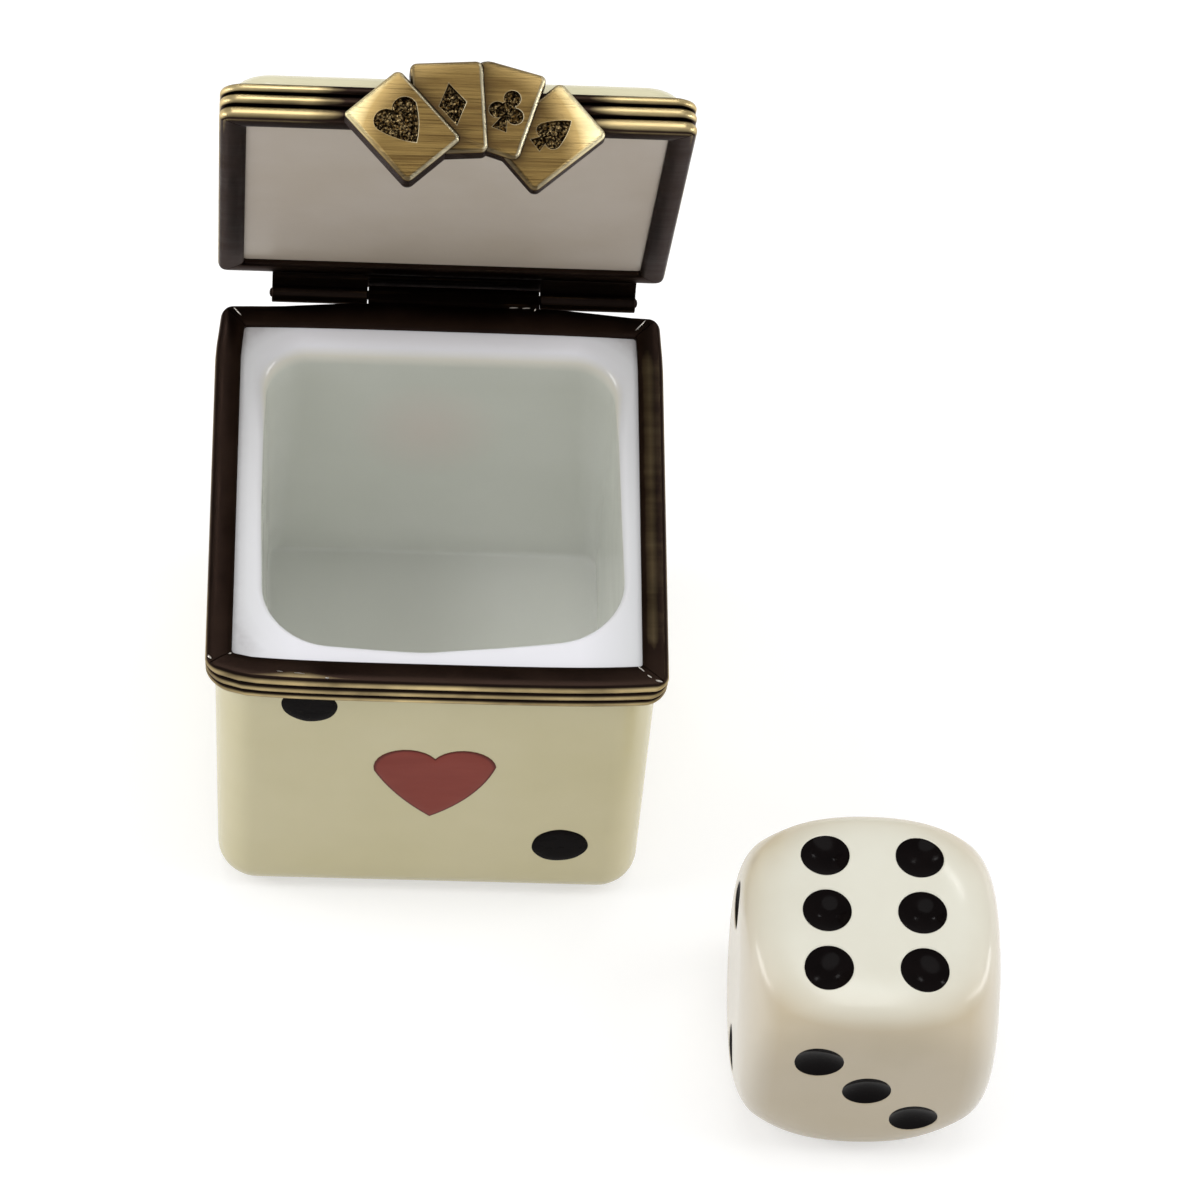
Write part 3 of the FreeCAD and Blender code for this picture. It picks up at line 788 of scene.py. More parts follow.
def make_bezel(name, node, body, seam, away):
    """Reeded strip with its flange; away is the way from the seam."""
    points, rub_and_light = [], []
    rows = bezel_profile()
    for inset, from_seam, corner, gold_share in rows:
        level = ring(HALF_X - inset, HALF_Y - inset, corner, seam + away * from_seam)
        rub_and_light.append(wear_and_light(level, inset, gold_share, body == "lid"))
        if inset > REED_RISE and from_seam < FLANGE_THICKNESS / 2:
            level[MITRES, 2] += away * MITRE_DEPTH
        points.append(level)
    points = np.concatenate(points)
    faces = loft_faces(len(rows), RING_POINTS, closed=True)
    places = swing(points) if body == "lid" else shaped(points)
    add_piece(name, [node], body, places, faces, [bezel_material],
              values={"rub_and_light": np.concatenate(rub_and_light)}, sharp=40)


# Hinge

def knuckle_outline(leaf_end):
    """Section of a knuckle: the barrel and the leaf that runs to the back of a bezel."""
    axis = np.array([HINGE.y, HINGE.z])
    side = math.copysign(1, leaf_end - HINGE.z)
    root = axis + (0, side * (BARREL_RADIUS - LEAF_THICKNESS / 2))
    tip = np.array([HALF_Y - REED_RISE / 2, leaf_end])
    along = (tip - root) / np.linalg.norm(tip - root)
    across = np.array([-along[1], along[0]])
    meets = []
    for edge in (LEAF_THICKNESS / 2, -LEAF_THICKNESS / 2):
        start = root + across * edge - axis
        reach = -start @ along + math.sqrt((start @ along) ** 2 - start @ start + BARREL_RADIUS ** 2)
        meets.append(start + along * reach)
    first, last = (math.atan2(m[1], m[0]) % (2 * math.pi) for m in meets)
    turns = np.linspace(first, last + (2 * math.pi if last < first else 0), BARREL_STEPS + 1)
    barrel = axis + BARREL_RADIUS * ways(turns)
    leaf = [tip - across * LEAF_THICKNESS / 2, tip + across * LEAF_THICKNESS / 2]
    steps = np.linspace(0, 1, LEAF_STEPS + 1)[1:, None]
    outer = barrel[-1] * (1 - steps) + leaf[0] * steps
    inner = leaf[1] * (1 - steps) + barrel[0] * steps
    return np.concatenate([barrel, outer, [leaf[1]], inner[:-1]])


def make_knuckle(name, node, body, start, length, leaf_end):
    """Knuckle with softened ends and an open bore for the pin."""
    outline = knuckle_outline(leaf_end)
    axis = np.array([HINGE.y, HINGE.z])
    turns = np.arctan2(*(outline - axis).T[::-1])
    bore = axis + (PIN_RADIUS + KNUCKLE_GAP / 2) * ways(turns)
    small = axis + (outline - axis) * (1 - END_BEVEL / BARREL_RADIUS)
    end = start + length
    stations = [(start, small), (start + END_BEVEL, outline), (start + length / 2, outline),
                (end - END_BEVEL, outline), (end, small), (end, bore), (start, bore)]
    points = np.concatenate([np.column_stack([np.full(len(flat), x), flat]) for x, flat in stations])
    faces = loft_faces(len(stations), len(outline), closed=True)
    places = swing(points) if body == "lid" else points
    add_piece(name, [node], body, places, faces, [hinge_material], sharp=35)


# Section of the lid's leaf over the middle knuckle, from the hinge's axis on the closed box
LEAF_OVER = ((-2.45, 1.45), (-0.5, 1.09), (0.0, 1.07), (0.45, 0.98), (0.6, 1.1), (0.5, 1.28), (0.0, 1.42),
             (-0.6, 1.5), (-2.45, 1.9))


def make_leaf(half):
    """Leaf that joins the lid's two knuckles, close over the middle one."""
    points, faces = bar(half, HINGE.x, np.array(LEAF_OVER) + (HINGE.y, HINGE.z))
    add_piece("lid_leaf", [], "lid", swing(points), faces, [hinge_material], sharp=35)


def make_hinge():
    """Three knuckles, their pin and the lid's leaf between the outer knuckles."""
    half = BASE_KNUCKLE_LENGTH / 2
    base_end = SEAM - BASE_LEAF_DROP - LEAF_THICKNESS / 2
    lid_end = LID_SEAM + LID_LEAF_HEIGHT
    outer = half + KNUCKLE_GAP
    make_knuckle("middle_knuckle", "base_knuckle", "box", HINGE.x - half, BASE_KNUCKLE_LENGTH, base_end)
    make_knuckle("left_knuckle", "lid_knuckle_left", "lid", HINGE.x - outer - LID_KNUCKLE_LENGTH,
                 LID_KNUCKLE_LENGTH, lid_end)
    make_knuckle("right_knuckle", "lid_knuckle_right", "lid", HINGE.x + outer, LID_KNUCKLE_LENGTH, lid_end)
    make_leaf(outer + LEAF_OVERLAP)
    reach = outer + LID_KNUCKLE_LENGTH
    stations = [(-reach - PIN_HEAD * c, PIN_RADIUS * s) for s, c in quarter_turn(PIN_STEPS)[1:]]
    stations += [(-x, r) for x, r in reversed(stations)]
    turns = full_turn(PIN_POINTS)
    points = [HINGE + Vector((x, r * math.cos(t), r * math.sin(t))) for x, r in stations for t in turns]
    faces = loft_faces(len(stations), len(turns), closed=False)
    add_piece("pin", ["hinge_pin"], "lid", swing(points), faces, [hinge_material], sharp=60)


# Flat outlines

def arc_through(first, middle, last, steps=12):
    """Points on the circular arc through three points, without the last."""
    (ax, ay), (bx, by), (cx, cy) = first, middle, last
    d = 2 * (ax * (by - cy) + bx * (cy - ay) + cx * (ay - by))
    sa, sb, sc = ax ** 2 + ay ** 2, bx ** 2 + by ** 2, cx ** 2 + cy ** 2
    x = (sa * (by - cy) + sb * (cy - ay) + sc * (ay - by)) / d
    y = (sa * (cx - bx) + sb * (ax - cx) + sc * (bx - ax)) / d
    start, through, end = (math.atan2(q[1] - y, q[0] - x) for q in (first, middle, last))
    turn = (end - start) % (2 * math.pi)
    if (through - start) % (2 * math.pi) > turn:
        turn -= 2 * math.pi
    radius = math.hypot(ax - x, ay - y)
    turns = [start + turn * k / steps for k in range(steps)]
    return [(x + radius * math.cos(t), y + radius * math.sin(t)) for t in turns]


def heart_arcs(notch, tip, right, left):
    """Heart of four arcs, clockwise from its notch; a side is given by its top, its flank and its belly."""
    return (arc_through(notch, right[0], right[1]) + arc_through(right[1], right[2], tip)
            + arc_through(tip, left[2], left[1]) + arc_through(left[1], left[0], notch))


def scaled(outline, width, height):
    """Outline given in shares, at its size."""
    return [(x * width, y * height) for x, y in outline]


def heart_outline(width, height):
    """Heart about the origin, point down, clockwise from its notch."""
    notch, tip, *right = scaled(HEART, width, height)
    return heart_arcs(notch, tip, right, scaled(right, -1, 1))


def disc_outline(x, y, radius):
    """Circle, clockwise."""
    return [(x + radius * math.sin(t), y + radius * math.cos(t)) for t in full_turn(DISC_POINTS)]


def suit_outlines(suit):
    """Closed outlines that together make a suit's sign."""
    size = SIGN_SIZES[suit]
    if suit == "heart":
        return [heart_outline(size, size)]
    if suit == "diamond":
        return [scaled(DIAMOND, size, size)]
    stem = scaled(STEM, size, size)
    if suit == "club":
        return [disc_outline(x, y, size * CLUB_LEAF) for x, y in scaled(CLUB, size, size)] + [stem]
    heart = heart_outline(size * BLADE_WIDTH, size * BLADE_HEIGHT)
    return [[(-x, size * BLADE_RAISE - y) for x, y in heart], stem]


def turned(points, spot):
    """Points turned by a card's angle and moved to its place."""
    x, y, angle = spot
    c, s = math.cos(math.radians(angle)), math.sin(math.radians(angle))
    points = np.asarray(points, float)
    return points @ np.array([[c, s], [-s, c]]) + (x, y)


def shrunk(points, depth):
    """Clockwise outline moved inwards by a depth, with mitred corners."""
    points = np.asarray(points, float)
    before, after = points - np.roll(points, 1, 0), np.roll(points, -1, 0) - points
    normals = [np.stack([d[:, 1], -d[:, 0]], 1) / np.linalg.norm(d, axis=1)[:, None]
               for d in (before, after)]
    middle = normals[0] + normals[1]
    middle /= np.maximum(np.sum(middle * normals[0], 1), MITRE_LIMIT)[:, None]
    return points + middle * depth


def holds(outline, spots):
    """Which spots lie inside a closed outline."""
    inside = np.zeros(len(spots), bool)
    for (x0, y0), (x1, y1) in zip(outline, np.roll(outline, -1, 0)):
        crosses = (y0 > spots[:, 1]) != (y1 > spots[:, 1])
        with np.errstate(divide="ignore", invalid="ignore"):
            at = x0 + (spots[:, 1] - y0) * (x1 - x0) / (y1 - y0)
        inside ^= crosses & (spots[:, 0] < at)
    return inside


def card_outline(suit, inset):
    """Card with round corners, clockwise from its upper right one, in its place in the fan."""
    left, right = CARD_FLAWS.get(suit, ((0.0, CARD_CORNER), (0.0, CARD_CORNER)))
    half_w, half_h = CARD_WIDTH / 2, CARD_HEIGHT / 2
    square = [(half_w, half_h - right[0]), (half_w, -half_h),
              (-half_w, -half_h), (-half_w, half_h - left[0])]
    spots = shrunk(square, inset)
    points = []
    for k, radius in enumerate((right[1], CARD_CORNER, CARD_CORNER, left[1])):
        radius = max(radius - inset, LEAST_CORNER)
        before, after = spots[k - 1] - spots[k], spots[(k + 1) % 4] - spots[k]
        before, after = before / np.linalg.norm(before), after / np.linalg.norm(after)
        reach = radius / math.tan(math.acos(before @ after) / 2)
        middle = spots[k] + before * reach + np.array([before[1], -before[0]]) * -radius
        first = math.atan2(*(spots[k] + before * reach - middle)[::-1])
        turn = math.pi - math.acos(before @ after)
        points += [middle + radius * np.array([math.cos(first - t), math.sin(first - t)])
                   for t in np.linspace(0, turn, CARD_CORNER_STEPS + 1)]
    return turned(points, CARDS[suit])


# Clasp: the fan is a relief over one plane, cut along every outline. Each step of a card's edge has a
# distance in from its side, a drop below its face and a rub, which also paints a highlight along the bevel;
# the outermost one has no face yet

CARD_EDGE = ((0.0, None, 0.0), (0.03, 0.30, 0.0), (0.09, 0.20, 0.8), (0.24, 0.05, 1.0), (0.42, 0.0, 0.0))
# Card edges keep this share of their rub; the rest is a painted highlight, given by the gain and loss below
# to the edges that face right. Suit rims get a painted highlight towards their right side.
EDGE_RUB = 0.08
CARD_SHADE = 0.85
SHADE_REACH = 0.8
SIDE_REACH = 0.045
SUIT_DRAFT = 0.07
SUIT_RIM = 0.08
SUIT_EDGE_RUB = 0.12
SUIT_RIGHT_HIGHLIGHT = 1.1
RIGHT_GAIN = 1.7
RIGHT_LOSS = 0.6
GRAIN_INSET = 1.3 * SUIT_DRAFT
STIPPLE_INSET = 1.6 * SUIT_DRAFT
STIPPLE_HALF = 0.6
STIPPLE_PITCH = 0.11
STIPPLE_JITTER = 0.35
FACE_MARGIN = 0.55
FACE_COLUMNS = 11
FACE_ROWS = 15
CUT_TOLERANCE = 1e-6
OUTSIDE_TOLERANCE = 1e-5
# Painted highlight towards the ends of the fan: the spot it grows away from, the distances it grows
# between, its power and the span of its rise from the lower edge
PALE_FROM = (1.0, -4.0)
PALE_NEAR = 7.3
PALE_FAR = 12.8
PALE_POWER = 1.2
PALE_RISE_SPAN = (-6.0, 4.0)


def fan_cuts():
    """Outlines that the relief is cut along."""
    cuts = [card_outline(suit, inset) for suit in CARDS for inset, _, _ in CARD_EDGE]
    for suit, spot in SIGNS.items():
        for outline in suit_outlines(suit):
            cuts += [turned(shrunk(outline, inset), spot) for inset in (-SUIT_RIM, 0.0, SUIT_DRAFT)]
    return cuts


def card_depth(spots, suit):
    """How far inside a card the spots lie, and how far its nearest side looks to the right."""
    outline = card_outline(suit, 0.0)
    depth, rightward = np.full(len(spots), np.inf), np.zeros(len(spots))
    for start, step in zip(outline, np.roll(outline, -1, 0) - outline):
        share = np.clip((spots - start) @ step / (step @ step), 0, 1)
        away = np.linalg.norm(spots - start - np.outer(share, step), axis=1)
        rightward = np.where(away < depth, -step[1] / np.linalg.norm(step), rightward)
        depth = np.minimum(depth, away)
    return np.where(holds(outline, spots), depth, -depth), rightward


def on_floor(spots, suit, inset):
    """Spots on the floor of a suit, some way in from its walls."""
    floor = np.zeros(len(spots), bool)
    for outline in suit_outlines(suit):
        floor |= holds(turned(shrunk(outline, inset), SIGNS[suit]), spots)
    return floor


def fan_relief(spots):
    """Height over the clasp's back at each spot, with the numbers that its brass is tinted by, among them
    painted light and shade.
    """
    height, rub_and_light, sunk, shade = np.zeros((4, len(spots)))
    side = np.ones(len(spots))
    random = np.random.default_rng(11)
    rough = random.uniform(-1, 1, len(spots)) * STIPPLE
    depths, drops, rubs_and_lights = zip(*(edge for edge in CARD_EDGE if edge[1] is not None))
    for step, suit in enumerate(CARDS):
        depth, rightward = card_depth(spots, suit)
        on = depth > depths[0] / 2
        height[on] = CARD_THICKNESS + step * CARD_STEP - np.interp(depth[on], depths, drops)
        # Painted highlight on the edges that face right, carried by the rub number.
        bright = np.clip(rightward[on] * RIGHT_GAIN - RIGHT_LOSS, 0, 1)
        rub_and_light[on] = np.interp(depth[on], depths, rubs_and_lights) * (EDGE_RUB + (1 - EDGE_RUB) * bright)
        cast = CARD_SHADE * np.exp(np.minimum(depth, 0) / SHADE_REACH)
        shade = np.where(on, 0.0, np.maximum(shade, cast))
        side[on] = (depth[on] < SIDE_REACH) * 1.0
        floor = on_floor(spots, suit, SUIT_DRAFT / 2) & on
        height[floor] -= SUIT_DEPTH
        grained = on_floor(spots, suit, GRAIN_INSET) & on
        height[grained] += rough[grained]
        edge = on_floor(spots, suit, -SUIT_DRAFT / 2) & on & ~floor
        # Painted highlight on a suit's rim, growing towards its right side.
        to_right = (spots[edge, 0] - SIGNS[suit][0]) / SIGN_SIZES[suit]
        rub_and_light[edge] = SUIT_EDGE_RUB + SUIT_RIGHT_HIGHLIGHT * np.clip(to_right, 0, 0.5)
        rub_and_light[floor] = 0.0
        sunk[on] = floor[on]
    # Painted highlight growing away from a spot near the middle of the fan.
    far = np.linalg.norm(spots - PALE_FROM, axis=1)
    painted_highlight = ease(far, PALE_NEAR, PALE_FAR - PALE_NEAR) ** PALE_POWER * ease(spots[:, 1], *PALE_RISE_SPAN)
    return height, {"rub_and_light": rub_and_light, "sunk": sunk, "side": side, "painted_highlight": painted_highlight, "shade": shade}


def stipple_spots():
    """Scattered spots over the floors of the suits."""
    random = np.random.default_rng(4)
    spots = []
    for suit, spot in SIGNS.items():
        half = SIGN_SIZES[suit] * STIPPLE_HALF
        grid = np.arange(-half, half, STIPPLE_PITCH)
        cells = np.stack(np.meshgrid(grid, grid), -1).reshape(-1, 2)
        jitter = random.uniform(-STIPPLE_JITTER, STIPPLE_JITTER, cells.shape) * STIPPLE_PITCH
        cells = turned(cells + jitter, spot)
        spots.append(cells[on_floor(cells, suit, STIPPLE_INSET)])
    return np.concatenate(spots)


def face_spots():
    """Even grid over each card, so that its tint changes smoothly."""
    half_w, half_h = CARD_WIDTH / 2 - FACE_MARGIN, CARD_HEIGHT / 2 - FACE_MARGIN
    across, along = np.linspace(-half_w, half_w, FACE_COLUMNS), np.linspace(-half_h, half_h, FACE_ROWS)
    grid = np.stack(np.meshgrid(across, along), -1).reshape(-1, 2)
    return np.concatenate([turned(grid, spot) for spot in CARDS.values()])


def fan_mesh():
    """Closed relief of the four cards: points, faces and tint numbers."""
    flat, edges = [], []
    for cut in fan_cuts():
        first = len(flat)
        flat += cut.tolist()
        edges += [(first + k, first + (k + 1) % len(cut)) for k in range(len(cut))]
    flat += stipple_spots().tolist() + face_spots().tolist()
    found = delaunay_2d_cdt([Vector(p) for p in flat], edges, [], 0, CUT_TOLERANCE)
    spots, triangles = np.array([tuple(v) for v in found[0]]), np.array(found[2])
    middles = spots[triangles].mean(1)
    triangles = triangles[np.max([card_depth(middles, suit)[0] for suit in CARDS], 0) > OUTSIDE_TOLERANCE]
    height, tints = fan_relief(spots)
    used = np.unique(triangles)
    index = np.full(len(spots), -1)
    index[used] = np.arange(len(used))
    pairs = np.sort(np.concatenate([triangles[:, [0, 1]], triangles[:, [1, 2]], triangles[:, [2, 0]]]), 1)
    ends, counts = np.unique(pairs, axis=0, return_counts=True)
    rim = np.zeros(len(spots), bool)
    rim[ends[counts == 1].ravel()] = True
    inner = used[~rim[used]]
    below = index.copy()
    below[inner] = len(used) + np.arange(len(inner))
    faces = np.concatenate([index[triangles], below[triangles][:, ::-1]]).tolist()
    both, depths = np.concatenate([used, inner]), np.concatenate([height[used], np.zeros(len(inner))])
    points = np.column_stack([spots[both, 0], CLASP_BACK - depths, LID_SEAM + spots[both, 1]])
    numbers = np.column_stack([tints[key][both] for key in tints])
    return points, faces, numbers, list(tints)


def pad_mesh():
    """Block that the fan is soldered to the bezel by, with softened long edges."""
    low, high = LID_SEAM + REED_RISE, LID_SEAM + BAND - REED_RISE
    front, back = CLASP_BACK - CARD_THICKNESS / 2, -HALF_Y + REED_RISE / 2
    outline = [(front, low), (back, low), (back, high), (front, high),
               (front, high - PAD_SOFT), (front, low + PAD_SOFT)]
    return bar(PAD_WIDTH / 2, 0.0, outline)


def make_clasp():
    """Fan of four cards in one casting, with the pad behind it."""
    points, faces, numbers, keys = fan_mesh()
    pad_points, pad_faces = pad_mesh()
    dark = np.zeros((len(pad_points), len(keys)))
    dark[:, keys.index("side")] = 1.0
    points, faces, numbers = joined([(points, faces, numbers), (pad_points, pad_faces, dark)])
    add_piece("card_fan", ["card_clasp"], "lid", swing(points), faces, [clasp_material],
              values=dict(zip(keys, numbers.T)), sharp=28)


# Enamel and the die

# Section of a mound: how far it has fallen at its edge, the power of the fall, and its steps
PIP_SECTION = (0.75, 8, 8)
HEART_SECTION = (0.6, 10, 14)
SOLDER_SECTION = (1.0, 2, 6)
BRUSH_POINTS = 72
# Faces with pips: piece, node, body, the way it looks on the closed box, seed of its brush and shift aside
PAINTED_FACES = (
    ("front_spots", "front_pips", "box", (0, -1, 0), 1, 0.5),
    ("left_spots", "left_pips", "box", (-1, 0, 0), 2, 0.0),
    ("right_spots", "right_pips", "box", (1, 0, 0), 3, 0.0),
    ("back_spots", "back_pips", "box", (0, 1, 0), 5, 0.0),
    ("lid_spots", "lid_pips", "lid", (0, 0, 1), 6, 0.0),
)
WELD = 1e-7
# The painted heart, about its middle: its notch, its tip, and the top, flank and belly of each side
PAINTED_NOTCH = (0.05, 4.75)
PAINTED_TIP = (-0.25, -5.68)
PAINTED_RIGHT = ((3.45, 6.3), (6.0, 3.6), (3.75, -1.55))
PAINTED_LEFT = ((-2.6, 6.3), (-5.85, 2.5), (-3.75, -1.5))


def islands(node):
    """Lowest and highest corner of each separate solid in a node, in millimetres."""
    shape = bmesh.new()
    shape.from_mesh(frame["nodes"][node].data)
    bmesh.ops.remove_doubles(shape, verts=shape.verts, dist=WELD)
    waiting = set(shape.verts)
    found = []
    while waiting:
        group, front = set(), [waiting.pop()]
        while front:
            vert = front.pop()
            group.add(vert)
            beside = [e.other_vert(vert) for e in vert.link_edges]
            fresh = [v for v in beside if v in waiting]
            waiting.difference_update(fresh)
            front += fresh
        places = np.array([v.co for v in group]) / MM
        found.append((places.min(0), places.max(0)))
    shape.free()
    return sorted(found, key=lambda pair: [round(c, 3) for c in pair[0]])


def frame_of(outward):
    """Two directions across a face, for the way it looks; the second is upright on a wall."""
    helper = np.array([0, 0, 1.0]) if abs(outward[2]) < 0.5 else np.array([0, 1.0, 0])
    up = helper - outward * (helper @ outward)
    up /= np.linalg.norm(up)
    return np.cross(up, outward), up


def mound(middle, outward, outline, lift, section):
    """Closed low solid over a star-shaped outline: points, faces and each point's share of the way out."""
    fall, power, steps = section
    outward = np.asarray(outward, float)
    flat = np.asarray(outline) @ np.array(frame_of(outward))
    shares = np.linspace(0, 1, steps + 1)[1:]
    rows = [(share, lift * (1 - fall * share ** power)) for share in shares] + [(1.0, 0.0)]
    rings = [middle + flat * share + outward * height for share, height in rows]
    count = len(flat)
    points = np.concatenate(rings + [[middle + outward * lift]])
    faces = loft_faces(len(rows), count, closed=False)[:FIRST_END]
    faces += [((k + 1) % count, k, len(points) - 1) for k in range(count)]
    faces.append(tuple(range((len(rows) - 1) * count, len(rows) * count)))
    reach = np.concatenate([np.full(count, s) for s, _ in rows] + [[0.0]])
    return points, faces, reach


def brushed_disc(radius, random):
    """Round outline with the slight wander of a brush."""
    turns = full_turn(BRUSH_POINTS)
    wander = sum(a * np.sin(k * turns + random.uniform(0, 6.28)) for k, a in BRUSH_WAVES)
    return radius * (1 + wander)[:, None] * ways(turns)


def make_pips(name, node, body, outward, seed, shift):
    """Painted spots of one face of the box, a little aside; the band cuts a wall's upper ones off."""
    random = np.random.default_rng(seed)
    outward = np.asarray(outward, float)
    if body == "lid":
        outward = swing([outward])[0] - swing([(0, 0, 0)])[0]
    parts = []
    for low, high in islands(node):
        middle = (low + high) / 2 + (shift, 0, 0)
        outline = brushed_disc(PIP_RADIUS * PIP_TRIM, random)
        if high[2] - low[2] < CUT_PIP_LIMIT * PIP_RADIUS and body == "box":
            outline *= CUT_PIP_SHARE
            middle[2] = low[2] + PIP_RADIUS + CUT_PIP_RAISE
            outline[:, 1] = np.minimum(outline[:, 1], high[2] - middle[2])
        wall = middle - outward * (ENAMEL / 2)
        parts.append(mound(wall, outward, outline, ENAMEL, PIP_SECTION))
    points, faces, _ = joined(parts)
    places = points if body == "lid" else shaped(points)
    add_piece(name, [node], body, places, faces, [enamel_material])


def make_heart():
    """Painted heart, a little lopsided as drawn by hand."""
    low, high = corners("front_heart")
    middle = np.array([(low.x + high.x) / 2 + HEART_ASIDE, high.y, (low.z + high.z) / 2])
    outline = heart_arcs(PAINTED_NOTCH, PAINTED_TIP, PAINTED_RIGHT, PAINTED_LEFT)
    points, faces, reach = mound(middle, (0, -1, 0), outline, ENAMEL, HEART_SECTION)
    add_piece("painted_heart", ["front_heart"], "box", shaped(points), faces, [red_enamel()],
              values={"reach": reach})


# Drops of solder on the seam: from, to and width
SOLDER = (
    ((19.4, 20.1), (20.4, 21.35), 0.17),
    ((-19.75, 20.3), (-20.65, 21.45), 0.13),
    ((19.0, -19.6), (19.5, -20.1), 0.14),
    ((19.8, -20.55), (20.2, -20.9), 0.18),
    ((20.65, -21.2), (21.1, -21.4), 0.22),
    ((-21.55, -20.7), (-21.4, -20.85), 0.26),
    ((-19.6, -19.75), (-19.5, -19.65), 0.16),
    ((-10.5, -21.45), (-10.25, -21.45), 0.14),
    ((-15.2, -20.95), (-14.5, -21.0), 0.07),
    ((-13.6, -21.05), (-12.4, -21.1), 0.06),
    ((6.9, 21.6), (7.7, 21.65), 0.10),
    ((8.2, 21.6), (8.9, 21.65), 0.12),
    ((9.4, 21.4), (9.5, 21.6), 0.14),
)
SOLDER_LIFT = 0.07
SOLDER_SUNK = 0.03


def make_solder():
    """Drops and lines of solder at the mitres of the base bezel."""
    random = np.random.default_rng(8)
    parts = []
    for start, end, width in SOLDER:
        start, end = np.array(start), np.array(end)
        half, along = (np.linalg.norm(end - start) + width) / 2, (end - start) / np.linalg.norm(end - start)
        outline = brushed_disc(1.0, random) * (half, width / 2)
        outline = outline @ np.array([along, (-along[1], along[0])])
        middle = np.append((start + end) / 2, SEAM - SOLDER_SUNK)
        parts.append(mound(middle, (0, 0, 1), outline, SOLDER_LIFT, SOLDER_SECTION))
    points, faces, _ = joined(parts)
    add_piece("solder", [], "box", shaped(points), faces, [solder_silver()])


DIE_HALF = (DIE_HIGH.x - DIE_LOW.x) / 2
DIE_MIDDLE = np.array((DIE_LOW + DIE_HIGH) / 2)
DIE_STEPS = 56
DIE_SHARP = 20
# Search for the die's skin: its halvings, its end in half widths and the step that a slope is taken over
SKIN_HALVINGS = 40
PAST_SKIN = 1.2
SLOPE_STEP = 0.01
# Cups: where the search for the skin starts below a pip's middle and how far it goes, and what the tool
# that cuts them adds to their radius and stands over the skin
CUP_POINTS = 64
CUP_STEPS = 10
SEARCH_BELOW = 4.0
SEARCH_LENGTH = 6.0
CUP_FLARE = 0.02
CUP_OVER = 0.6
# Paint: its shares of a cup's radius and depth, at its top and its underside, and how far it is sunk
PAINT_STEPS = 12
PAINT_WIDTH = 0.995
PAINT_TOP = 0.9
PAINT_UNDERSIDE = 0.98
PAINT_SUNK = 0.015


def die_distance(points):
    """How far places about the die's middle lie outside its skin: a soft cube trimmed by a ball."""
    q = np.abs(points) - (DIE_HALF - DIE_EDGE_RADIUS)
    cube = np.linalg.norm(np.maximum(q, 0), axis=1) + np.minimum(q.max(1), 0) - DIE_EDGE_RADIUS
    sphere = np.linalg.norm(points, axis=1) - DIE_BALL_RADIUS
    share = np.maximum(DIE_BLUR - np.abs(cube - sphere), 0) / DIE_BLUR
    return np.maximum(cube, sphere) + share ** 2 * DIE_BLUR / 4


def die_skin(starts, steps):
    """Where the ways from starts inside the die, over whole steps, cross its skin."""
    near, far = np.zeros(len(starts)), np.ones(len(starts))
    for _ in range(SKIN_HALVINGS):
        middle = (near + far) / 2
        inside = die_distance(starts + steps * middle[:, None]) < 0
        near, far = np.where(inside, middle, near), np.where(inside, far, middle)
    return starts + steps * near[:, None]


def die_blank(steps):
    """Points and quads of the die before its pips are sunk."""
    grid = np.linspace(-1, 1, steps + 1)
    index, faces = {}, []
    for axis, end, u, v in itertools.product(range(3), (0, steps), range(steps), range(steps)):
        square = [(end, u, v), (end, u + 1, v), (end, u + 1, v + 1), (end, u, v + 1)]
        keys = [key[-axis:] + key[:-axis] for key in square]
        loop = [index.setdefault(key, len(index)) for key in keys]
        faces.append(loop if end else loop[::-1])
    return die_skin(np.zeros((len(index), 3)), grid[np.array(list(index))] * DIE_HALF * 2), faces


def die_cups():
    """Middle of each pip on the die's skin and the way the skin looks there."""
    cups = []
    for low, high in islands("die_pips"):
        away = (low + high) / 2 - DIE_MIDDLE
        axis = int(np.argmax(np.abs(away)))
        inner, step = away.copy(), np.zeros(3)
        inner[axis], step[axis] = 0.0, math.copysign(DIE_HALF * PAST_SKIN, away[axis])
        spot = die_skin(inner[None], step[None])[0]
        shifts = np.eye(3) * SLOPE_STEP
        outward = die_distance(spot + shifts) - die_distance(spot - shifts)
        cups.append((spot, outward / np.linalg.norm(outward)))
    return cups


def cap(radius, depth, steps):
    """Distances from the middle and depths of a round-bottomed cup, from its middle to its rim."""
    ball = (radius ** 2 + depth ** 2) / (2 * depth)
    reach = np.linspace(0, math.asin(radius / ball), steps + 1)
    return [(ball * math.sin(t), depth - ball * (1 - math.cos(t))) for t in reach]


def cup_rings(spot, outward, rows):
    """Rings of a cup in the die, given as distances out and depths below the skin."""
    across, up = frame_of(outward)
    turns = full_turn(CUP_POINTS)
    around = np.outer(np.cos(turns), across) + np.outer(np.sin(turns), up)
    steps = np.tile(outward * SEARCH_LENGTH, (CUP_POINTS, 1))
    below = outward * SEARCH_BELOW
    rings = [die_skin(spot + around * out - below, steps) - outward * depth for out, depth in rows]
    return np.concatenate(rings) + DIE_MIDDLE


def cup_tool():
    """Round plugs that the die's cups are cut by."""
    parts = []
    for spot, outward in die_cups():
        rows = cap(DIE_PIP_RADIUS, DIE_PIP_DEPTH, CUP_STEPS)[1:]
        rows.append((DIE_PIP_RADIUS + CUP_FLARE, -CUP_OVER))
        rings = cup_rings(spot, outward, rows)
        parts.append((rings, loft_faces(len(rows), CUP_POINTS, closed=False), np.zeros(len(rings))))
    points, faces, _ = joined(parts)
    return new_object("die_cups", new_mesh("die_cups", points, faces))


